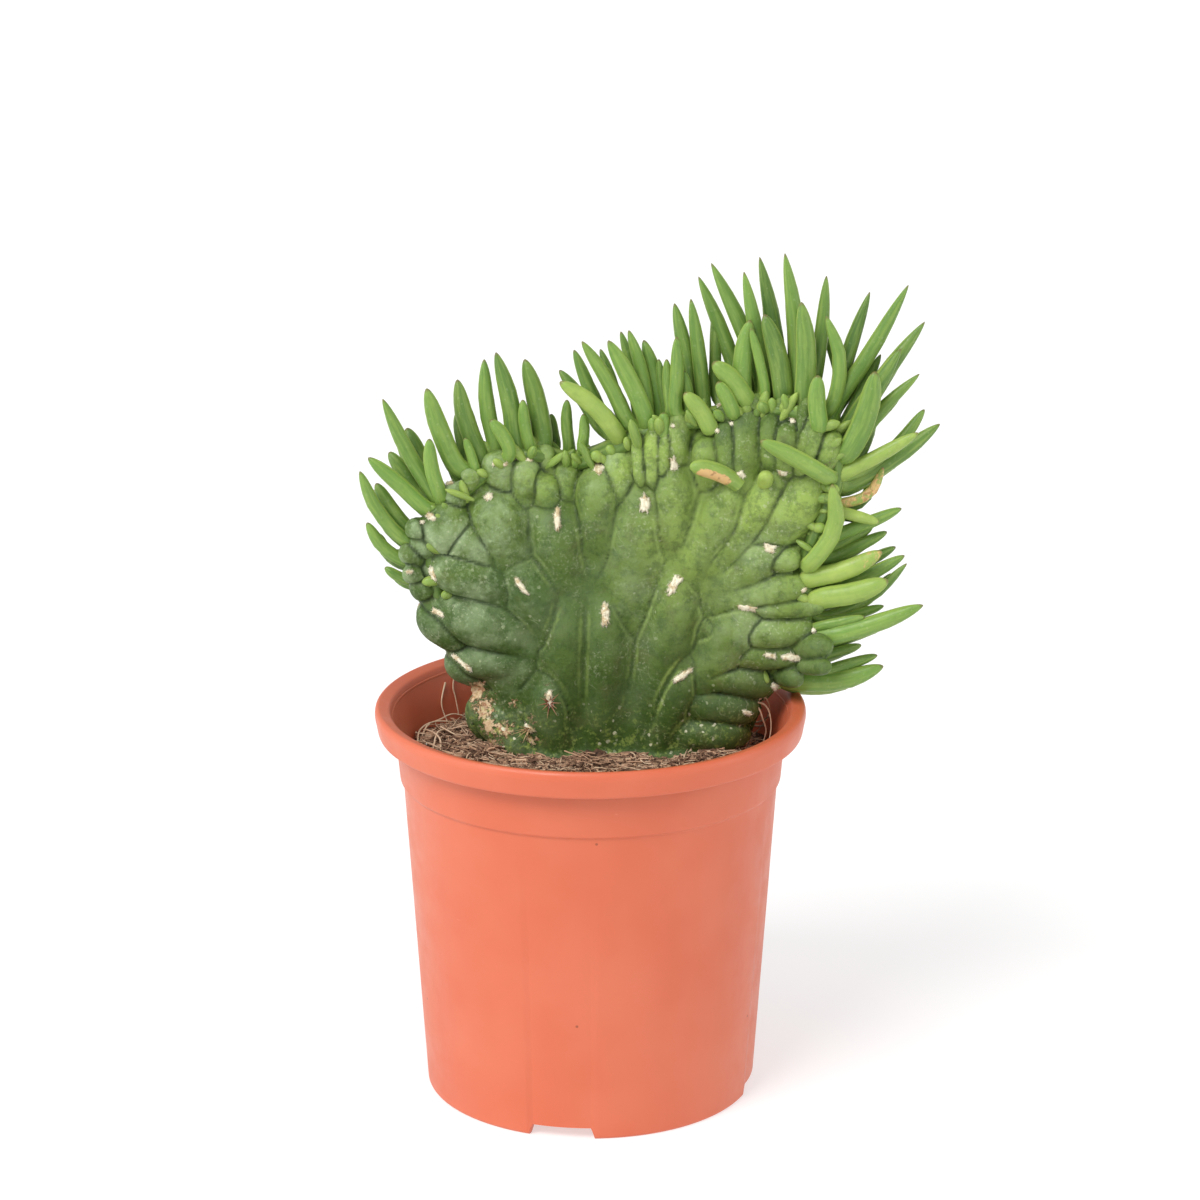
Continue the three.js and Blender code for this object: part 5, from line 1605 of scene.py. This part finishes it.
def fibre_tree():
    """Strews curled fibres on a surface: straight strands, then bent by noise and made round."""
    tree, given = new_tree("Peat fibres", {
        "Density": ("NodeSocketFloat", 9e5), "Length": ("NodeSocketFloat", 0.009),
        "Thickness": ("NodeSocketFloat", 0.0002), "Curl": ("NodeSocketFloat", 0.004),
        "Tilt": ("NodeSocketFloat", 0.2), "Reach": ("NodeSocketFloat", 0.0456),
        "Seed": ("NodeSocketInt", 1), "Material": ("NodeSocketMaterial", None)})
    spread = {"Mesh": given["Geometry"], "Density": given["Density"], "Seed": given["Seed"]}
    spread = add(tree, "GeometryNodeDistributePointsOnFaces", spread, None)
    ends = {}
    for label, share in (("Start", -0.5), ("End", 0.5)):
        end = {0: given["Length"], 1: share}
        end = add(tree, "ShaderNodeMath", end, operation="MULTIPLY")
        ends[label] = add(tree, "ShaderNodeCombineXYZ", {0: end})
    strand = add(tree, "GeometryNodeCurvePrimitiveLine", ends)
    strand = add(tree, "GeometryNodeResampleCurve", {"Curve": strand, "Count": 7})
    tilt_low = {0: given["Tilt"], 1: -1.0}
    tilt_low = add(tree, "ShaderNodeMath", tilt_low, operation="MULTIPLY")
    low = add(tree, "ShaderNodeCombineXYZ", {0: 0.0, 1: tilt_low, 2: 0.0})
    high = add(tree, "ShaderNodeCombineXYZ", {0: 0.0, 1: given["Tilt"], 2: 6.283})
    turn = {0: low, 1: high, "Seed": given["Seed"]}
    turn = add(tree, "FunctionNodeRandomValue", turn, data_type="FLOAT_VECTOR")
    turn = add(tree, "FunctionNodeEulerToRotation", {0: turn})
    size, tone = (
        add(tree, "FunctionNodeRandomValue", {2: least, 3: 1.0, "Seed": seed}, 1, data_type="FLOAT")
        for least, seed in ((0.3, 5), (0.0, 9)))
    points = {"Geometry": spread["Points"], "Name": "tone", "Value": tone}
    points = add(tree, "GeometryNodeStoreNamedAttribute", points)
    strands = {"Points": points, "Instance": strand, "Scale": size, "Rotation": turn}
    strands = add(tree, "GeometryNodeInstanceOnPoints", strands)
    strands = add(tree, "GeometryNodeRealizeInstances", {0: strands})
    # Each strand bends its own way, because its tone moves it through the noise
    own = add(tree, "GeometryNodeInputNamedAttribute", {"Name": "tone"}, data_type="FLOAT")
    own = add(tree, "ShaderNodeMath", {0: own, 1: 9.0}, operation="MULTIPLY")
    place = add(tree, "GeometryNodeInputPosition")
    wave = {"Scale": 170.0, "Detail": 1.0, "Vector": place, "W": own}
    push = add(tree, "ShaderNodeTexNoise", wave, "Color", noise_dimensions="4D")
    for operation, inputs in (("SUBTRACT", {1: (0.5, 0.5, 0.5)}), ("MULTIPLY", {1: (1.0, 1.0, 0.4)}),
                              ("SCALE", {"Scale": given["Curl"]})):
        push = add(tree, "ShaderNodeVectorMath", {0: push, **inputs}, operation=operation)
    strands = add(tree, "GeometryNodeSetPosition", {"Geometry": strands, "Offset": push})
    # Fibres that would reach past the wall are pressed against it
    place = add(tree, "GeometryNodeInputPosition")
    flat = {0: place, 1: (1.0, 1.0, 0.0)}
    flat = add(tree, "ShaderNodeVectorMath", flat, operation="MULTIPLY")
    off = add(tree, "ShaderNodeVectorMath", {0: flat}, "Value", operation="LENGTH")
    kept = add(tree, "ShaderNodeMath", {0: given["Reach"], 1: off}, operation="DIVIDE")
    kept = add(tree, "ShaderNodeMath", {0: kept, 1: 1.0}, operation="MINIMUM")
    kept = add(tree, "ShaderNodeCombineXYZ", {0: kept, 1: kept, 2: 1.0})
    held = add(tree, "ShaderNodeVectorMath", {0: place, 1: kept}, operation="MULTIPLY")
    strands = add(tree, "GeometryNodeSetPosition", {"Geometry": strands, "Position": held})
    ring = {"Resolution": 3, "Radius": given["Thickness"]}
    ring = add(tree, "GeometryNodeCurvePrimitiveCircle", ring)
    along = add(tree, "GeometryNodeSplineParameter")
    taper = add(tree, "ShaderNodeMapRange", {0: along, 1: 0.6, 2: 1.0, 3: 1.0, 4: 0.35})
    body = {"Curve": strands, "Profile Curve": ring, "Scale": taper, "Fill Caps": True}
    body = add(tree, "GeometryNodeCurveToMesh", body)
    return end_tree(tree, body, given["Material"])


def crumb_tree():
    """Strews small clods or grains on a surface, each a rough ball of its own size and turn."""
    tree, given = new_tree("Crumbs", {
        "Density": ("NodeSocketFloat", 2e5), "Size": ("NodeSocketFloat", 0.001),
        "Seed": ("NodeSocketInt", 1), "Material": ("NodeSocketMaterial", None)})
    spread = {"Mesh": given["Geometry"], "Density": given["Density"], "Seed": given["Seed"]}
    spread = add(tree, "GeometryNodeDistributePointsOnFaces", spread, None)
    ball = {"Radius": given["Size"], "Subdivisions": 2}
    ball = add(tree, "GeometryNodeMeshIcoSphere", ball)
    turn = {1: (6.28, 6.28, 6.28), "Seed": given["Seed"]}
    turn = add(tree, "FunctionNodeRandomValue", turn, data_type="FLOAT_VECTOR")
    turn = add(tree, "FunctionNodeEulerToRotation", {0: turn})
    size = {0: (0.35, 0.35, 0.3), 1: (1.2, 1.0, 0.8), "Seed": 4}
    size = add(tree, "FunctionNodeRandomValue", size, data_type="FLOAT_VECTOR")
    grains = {"Points": spread["Points"], "Instance": ball, "Scale": size, "Rotation": turn}
    grains = add(tree, "GeometryNodeInstanceOnPoints", grains)
    grains = add(tree, "GeometryNodeRealizeInstances", {0: grains})
    place = add(tree, "GeometryNodeInputPosition")
    rough = {"Scale": 900.0, "Detail": 2.0, "Vector": place}
    push = add(tree, "ShaderNodeTexNoise", rough, "Color")
    for operation, inputs in (("SUBTRACT", {1: (0.5, 0.5, 0.5)}), ("SCALE", {"Scale": given["Size"]})):
        push = add(tree, "ShaderNodeVectorMath", {0: push, **inputs}, operation=operation)
    grains = add(tree, "GeometryNodeSetPosition", {"Geometry": grains, "Offset": push})
    return end_tree(tree, grains, given["Material"])


def make_soil(sizes, colours):
    """Builds the filling, strews it with fibres, crumbs and grains, and lays the roots."""
    peat, fibre = peat_body(colours), peat_fibre(colours)
    root, perlite = pale_root(colours), perlite_grain(colours)
    finishes = {"peat_fibres": fibre, "peat_slivers": fibre, "surface_roots": root,
                "peat_crumbs": peat, "perlite_grains": perlite}
    settled(soil_body(), peat, ["soil"])
    share = 1.0
    strewn = []
    for name, inner, number, length, thickness, curl, seed in STRANDS:
        strewn.append((name, inner, LITTER_RADIUS, shared_tree("Peat fibres", fibre_tree), {
            "Density": sizes.fibres * share * number, "Length": sizes.fibre_length * length,
            "Thickness": thickness * MM, "Curl": curl * MM, "Seed": seed}))
    for name, inner, outer, number, size, seed in CRUMBS:
        strewn.append((name, inner, outer, shared_tree("Crumbs", crumb_tree), {
            "Density": number * share, "Size": size * MM, "Seed": seed}))
    for name, inner, outer, tree, values in strewn:
        finish = finishes[name]
        piece = baked(litter_base(inner, outer), name, tree, {**values, "Material": finish})
        settled(piece, finish)
    steps = np.linspace(0, 1, ROOT_STEPS)
    girth = ROOT_RADIUS * (1.05 - 0.6 * steps)
    limbs = [limb(catmull_rom(path, steps), girth, 1.0) for path in ROOTS]
    settled(sweep("wall_roots", limbs, 6, root), root)


# Pot

POT_HEIGHT = 98.4
RIM_RADIUS = 53
FOOT_RADIUS = 40.9
SHOULDER_RADIUS = 46.1
SHOULDER_Z = 79.5
COLLAR_RADIUS = 48
LIP_Z = 91.6
WALL = 1.3
FLOOR = 1.6
FOOT_RISE = 3
HUB_RADIUS = 14
NOTCH_WIDTH = 16.5
NOTCH_TAPER = 1
NOTCH_ANGLES = (-100, -10, 80, 170)
DRAIN_HOLES = 6
DRAIN_RADIUS = 3
DRAIN_CIRCLE = 27
DRAIN_SIDES = 24
CORNER_STEPS = 4
SHARP_FROM = math.radians(40)
POT_SIDES = 240


def rounded(profile, radii):
    """A profile with its corners rounded: radii holds a radius for each corner, 0 to keep it."""
    made = []
    count = len(profile)
    for i, (corner, radius) in enumerate(zip(profile, radii)):
        here = Vector(corner)
        if radius == 0:
            made.append(here)
            continue
        before, after = Vector(profile[i - 1]), Vector(profile[(i + 1) % count])
        a, b = (before - here), (after - here)
        cut = min(radius, a.length * 0.45, b.length * 0.45)
        start, end = here + a.normalized() * cut, here + b.normalized() * cut
        for k in range(CORNER_STEPS + 1):
            t = k / CORNER_STEPS
            made.append(start * (1 - t) ** 2 + here * 2 * t * (1 - t) + end * t ** 2)
    return made


def pot_profile():
    """The pot's section, outside first, as radius and height with a rounding for each corner."""
    inner_foot, skirt = FOOT_RADIUS - WALL - 0.8, RIM_RADIUS - WALL
    corners = [
        (inner_foot - 0.8, FOOT_RISE, 0.3), (inner_foot, 0, 0.25), (FOOT_RADIUS - 0.5, 0, 0.4),
        (FOOT_RADIUS, 0.6, 0.5), (SHOULDER_RADIUS, SHOULDER_Z, 0.5),
        (SHOULDER_RADIUS + 0.8, SHOULDER_Z + 0.6, 0.5), (COLLAR_RADIUS, LIP_Z, 0),
        (COLLAR_RADIUS + 0.5, LIP_Z + 4.6, 0.4), (skirt - 0.4, LIP_Z + 4.6, 0.4),
        (skirt - 0.9, LIP_Z, 0.3), (RIM_RADIUS - 1.1, LIP_Z, 0.3), (RIM_RADIUS - 0.8, LIP_Z + 0.6, 0.3),
        (RIM_RADIUS, POT_HEIGHT - 2, 0.8), (RIM_RADIUS - 0.2, POT_HEIGHT - 0.7, 0.5),
        (RIM_RADIUS - 0.9, POT_HEIGHT, 0.6), (RIM_RADIUS - 3.6, POT_HEIGHT - 0.8, 0.5),
        (RIM_RADIUS - 4.2, POT_HEIGHT - 1.8, 0.6), (COLLAR_RADIUS - WALL, LIP_Z - 1.4, 3),
        (SHOULDER_RADIUS - WALL + 0.8, SHOULDER_Z + 0.9, 0.4),
        (SHOULDER_RADIUS - WALL, SHOULDER_Z - 0.6, 0.4),
        (FOOT_RADIUS - WALL - 0.1, FOOT_RISE + FLOOR + 1, 0.5),
        (FOOT_RADIUS - WALL - 1, FOOT_RISE + FLOOR, 0.5),
        (HUB_RADIUS + 1, FOOT_RISE + FLOOR, 0.4), (HUB_RADIUS - 0.4, FLOOR, 0.4),
    ]
    return rounded([(r, z) for r, z, _ in corners], [c for _, _, c in corners])


def pot_angles():
    """Angles round the pot, with a pair at each side of each foot notch for a clean edge."""
    half = math.degrees((NOTCH_WIDTH / 2) / FOOT_RADIUS)
    inner = math.degrees((NOTCH_WIDTH / 2 - NOTCH_TAPER) / FOOT_RADIUS)
    angles = {round(360 * i / POT_SIDES, 4): 0.0 for i in range(POT_SIDES)}
    for middle in NOTCH_ANGLES:
        for angle in list(angles):
            off = abs((angle - middle + 180) % 360 - 180)
            if off < inner:
                angles[angle] = FOOT_RISE
            elif off < half + 0.4:
                del angles[angle]
        for side in (-1, 1):
            angles[round((middle + side * half) % 360, 4)] = 0.0
            angles[round((middle + side * inner) % 360, 4)] = FOOT_RISE
    return [(math.radians(a), angles[a]) for a in sorted(angles)]


def pot_body():
    """The pot as one closed wall: its section turned round, the hub, the notches and the drains."""
    profile, angles = pot_profile(), pot_angles()
    points = []
    for r, z in profile:
        points += [(r * math.cos(a), r * math.sin(a), max(z, lift)) for a, lift in angles]
    count, sides = len(profile), len(angles)
    faces = []
    for ring in range(count - 1):
        for s in range(sides):
            after = (s + 1) % sides
            a, b = ring * sides, (ring + 1) * sides
            faces.append((a + s, a + after, b + after, b + s))
    # The floor inside, and the underside with its hub
    top = len(points)
    points.append((0, 0, FLOOR))
    faces += [(top, (count - 1) * sides + s, (count - 1) * sides + (s + 1) % sides) for s in range(sides)]
    under = [(HUB_RADIUS + 1, FOOT_RISE), (HUB_RADIUS + 0.15, 0.2), (HUB_RADIUS - 0.3, 0)]
    rings = []
    for r, z in under:
        rings.append(len(points))
        points += [(r * math.cos(a), r * math.sin(a), z) for a, _ in angles]
    for outer, inner in zip([0, *rings[:-1]], rings):
        for s in range(sides):
            after = (s + 1) % sides
            faces.append((outer + after, outer + s, inner + s, inner + after))
    middle = len(points)
    points.append((0, 0, 0))
    faces += [(middle, rings[-1] + (s + 1) % sides, rings[-1] + s) for s in range(sides)]
    pot = mesh_object("pot_body", points, faces)
    cutters = []
    for i in range(DRAIN_HOLES):
        angle = 2 * math.pi * (i + 0.5) / DRAIN_HOLES
        outline = [(DRAIN_CIRCLE * math.cos(angle) + DRAIN_RADIUS * math.cos(b),
                    DRAIN_CIRCLE * math.sin(angle) + DRAIN_RADIUS * math.sin(b))
                   for b in np.linspace(0, 2 * math.pi, DRAIN_SIDES, endpoint=False)]
        cutters.append(prism("drain", outline, (FOOT_RISE - 2, FOOT_RISE + FLOOR + 2)))
    drains = joined("drains", cutters)
    flattened(pot, [("BOOLEAN", {"object": drains, "operation": "DIFFERENCE", "solver": "EXACT"})])
    bpy.data.objects.remove(drains)
    return pot


def make_pot(colours):
    """Builds the pot and keeps its edges crisp."""
    material = pot_plastic(colours)
    pot = settled(pot_body(), material, ["pot"])
    pot.data.set_sharp_from_angle(angle=SHARP_FROM)


# Stage

FLOOR_SIZE = 80.0
WORLD_STRENGTH = 0.52
# Lamps: name, kind, direction that it comes from, size, power
LAMPS = [
    ("key", "SUN", (-0.6, -0.8, 1.2), math.radians(28), 2.1),
    ("front", "SUN", (0.5, -1.0, 0.5), math.radians(70), 0.3),
    ("left_panel", "AREA", (-0.9, -0.25, 0.35), 0.7, 2.5),
    ("right_panel", "AREA", (0.95, -0.3, 0.35), 0.7, 2.0),
]
LAMPS_LOOK_AT = Vector((0, 0, 0.1))


def make_stage(colours):
    """Sets the floor, the camera of the front view, the lamps and the white surroundings."""
    far = FLOOR_SIZE / 2
    mesh = bpy.data.meshes.new("floor")
    mesh.from_pydata([(-far, -far, 0), (far, -far, 0), (far, far, 0), (-far, far, 0)], [], [(0, 1, 2, 3)])
    mesh.materials.append(studio_floor(colours))
    placed("floor", mesh)

    camera = placed("camera", bpy.data.cameras.new("camera"))
    camera.location = Vector(EYE * MM)
    camera.rotation_euler = (math.pi / 2 - LOOK_DOWN, 0, 0)
    camera.data.lens = LENS_MM
    camera.data.sensor_width = SENSOR_MM
    bpy.context.scene.camera = camera

    for name, kind, place, width, power in LAMPS:
        lamp = bpy.data.lights.new(name, kind)
        if kind == "SUN":
            lamp.angle = width
        else:
            lamp.size = width
        lamp.energy = power
        holder = placed(name, lamp)
        holder.location = place
        holder.rotation_euler = (LAMPS_LOOK_AT - Vector(place)).to_track_quat("-Z", "Y").to_euler()

    world = bpy.data.worlds.new("studio")
    world.use_nodes = True
    light = world.node_tree.nodes["Background"].inputs
    light["Color"].default_value = linear(WHITE)
    light["Strength"].default_value = WORLD_STRENGTH
    bpy.context.scene.world = world
    bpy.context.scene.view_settings.view_transform = "Standard"


# Operators, panel and registration

class CACTUS_OT_pot(bpy.types.Operator):
    """Builds the moulded nursery pot"""

    bl_idname = "cactus.pot"
    bl_label = "Nursery pot"

    def execute(self, context):
        make_pot(context.scene.cactus_colours)
        return {"FINISHED"}


class CACTUS_OT_soil(bpy.types.Operator):
    """Builds the peat, its fibres, crumbs and grains, and the thin roots"""

    bl_idname = "cactus.soil"
    bl_label = "Peat soil"

    def execute(self, context):
        make_soil(context.scene.cactus_sizes, context.scene.cactus_colours)
        return {"FINISHED"}


class CACTUS_OT_stem(bpy.types.Operator):
    """Builds the crested stem with its tubercles"""

    bl_idname = "cactus.stem"
    bl_label = "Crested stem"

    def execute(self, context):
        make_stem(context.scene.cactus_sizes, context.scene.cactus_colours)
        return {"FINISHED"}


class CACTUS_OT_leaves(bpy.types.Operator):
    """Builds the leaves and buds of the growing edge"""

    bl_idname = "cactus.leaves"
    bl_label = "Leaves"

    def execute(self, context):
        make_leaves(context.scene.cactus_sizes, context.scene.cactus_colours)
        return {"FINISHED"}


class CACTUS_OT_areoles(bpy.types.Operator):
    """Builds the felt and the spines of the areoles, on the finished stem"""

    bl_idname = "cactus.areoles"
    bl_label = "Areoles"

    def execute(self, context):
        make_areoles(context.scene.cactus_sizes, context.scene.cactus_colours)
        return {"FINISHED"}


class CACTUS_OT_stage(bpy.types.Operator):
    """Sets the floor, the lamps and the camera"""

    bl_idname = "cactus.stage"
    bl_label = "Studio stage"

    def execute(self, context):
        make_stage(context.scene.cactus_colours)
        return {"FINISHED"}


class CACTUS_PT_panel(bpy.types.Panel):
    bl_label = "Potted crested cactus"
    bl_idname = "CACTUS_PT_panel"
    bl_space_type = "VIEW_3D"
    bl_region_type = "UI"
    bl_category = "Cactus"

    def draw(self, context):
        for group in (context.scene.cactus_sizes, context.scene.cactus_colours):
            for key in group.__annotations__:
                self.layout.prop(group, key)
        for operator in OPERATORS:
            self.layout.operator(operator.bl_idname)


OPERATORS = (CACTUS_OT_pot, CACTUS_OT_soil, CACTUS_OT_stem, CACTUS_OT_leaves, CACTUS_OT_areoles,
             CACTUS_OT_stage)
CLASSES = (CactusSizes, CactusColours, *OPERATORS, CACTUS_PT_panel)


def register():
    for item in CLASSES:
        bpy.utils.register_class(item)
    bpy.types.Scene.cactus_sizes = PointerProperty(type=CactusSizes)
    bpy.types.Scene.cactus_colours = PointerProperty(type=CactusColours)


def unregister():
    del bpy.types.Scene.cactus_colours
    del bpy.types.Scene.cactus_sizes
    for item in reversed(CLASSES):
        bpy.utils.unregister_class(item)


def main():
    register()
    bpy.ops.cactus.pot()
    bpy.ops.cactus.soil()
    bpy.ops.cactus.stem()
    bpy.ops.cactus.leaves()
    bpy.ops.cactus.areoles()
    bpy.ops.cactus.stage()


if __name__ == "__main__":
    main()
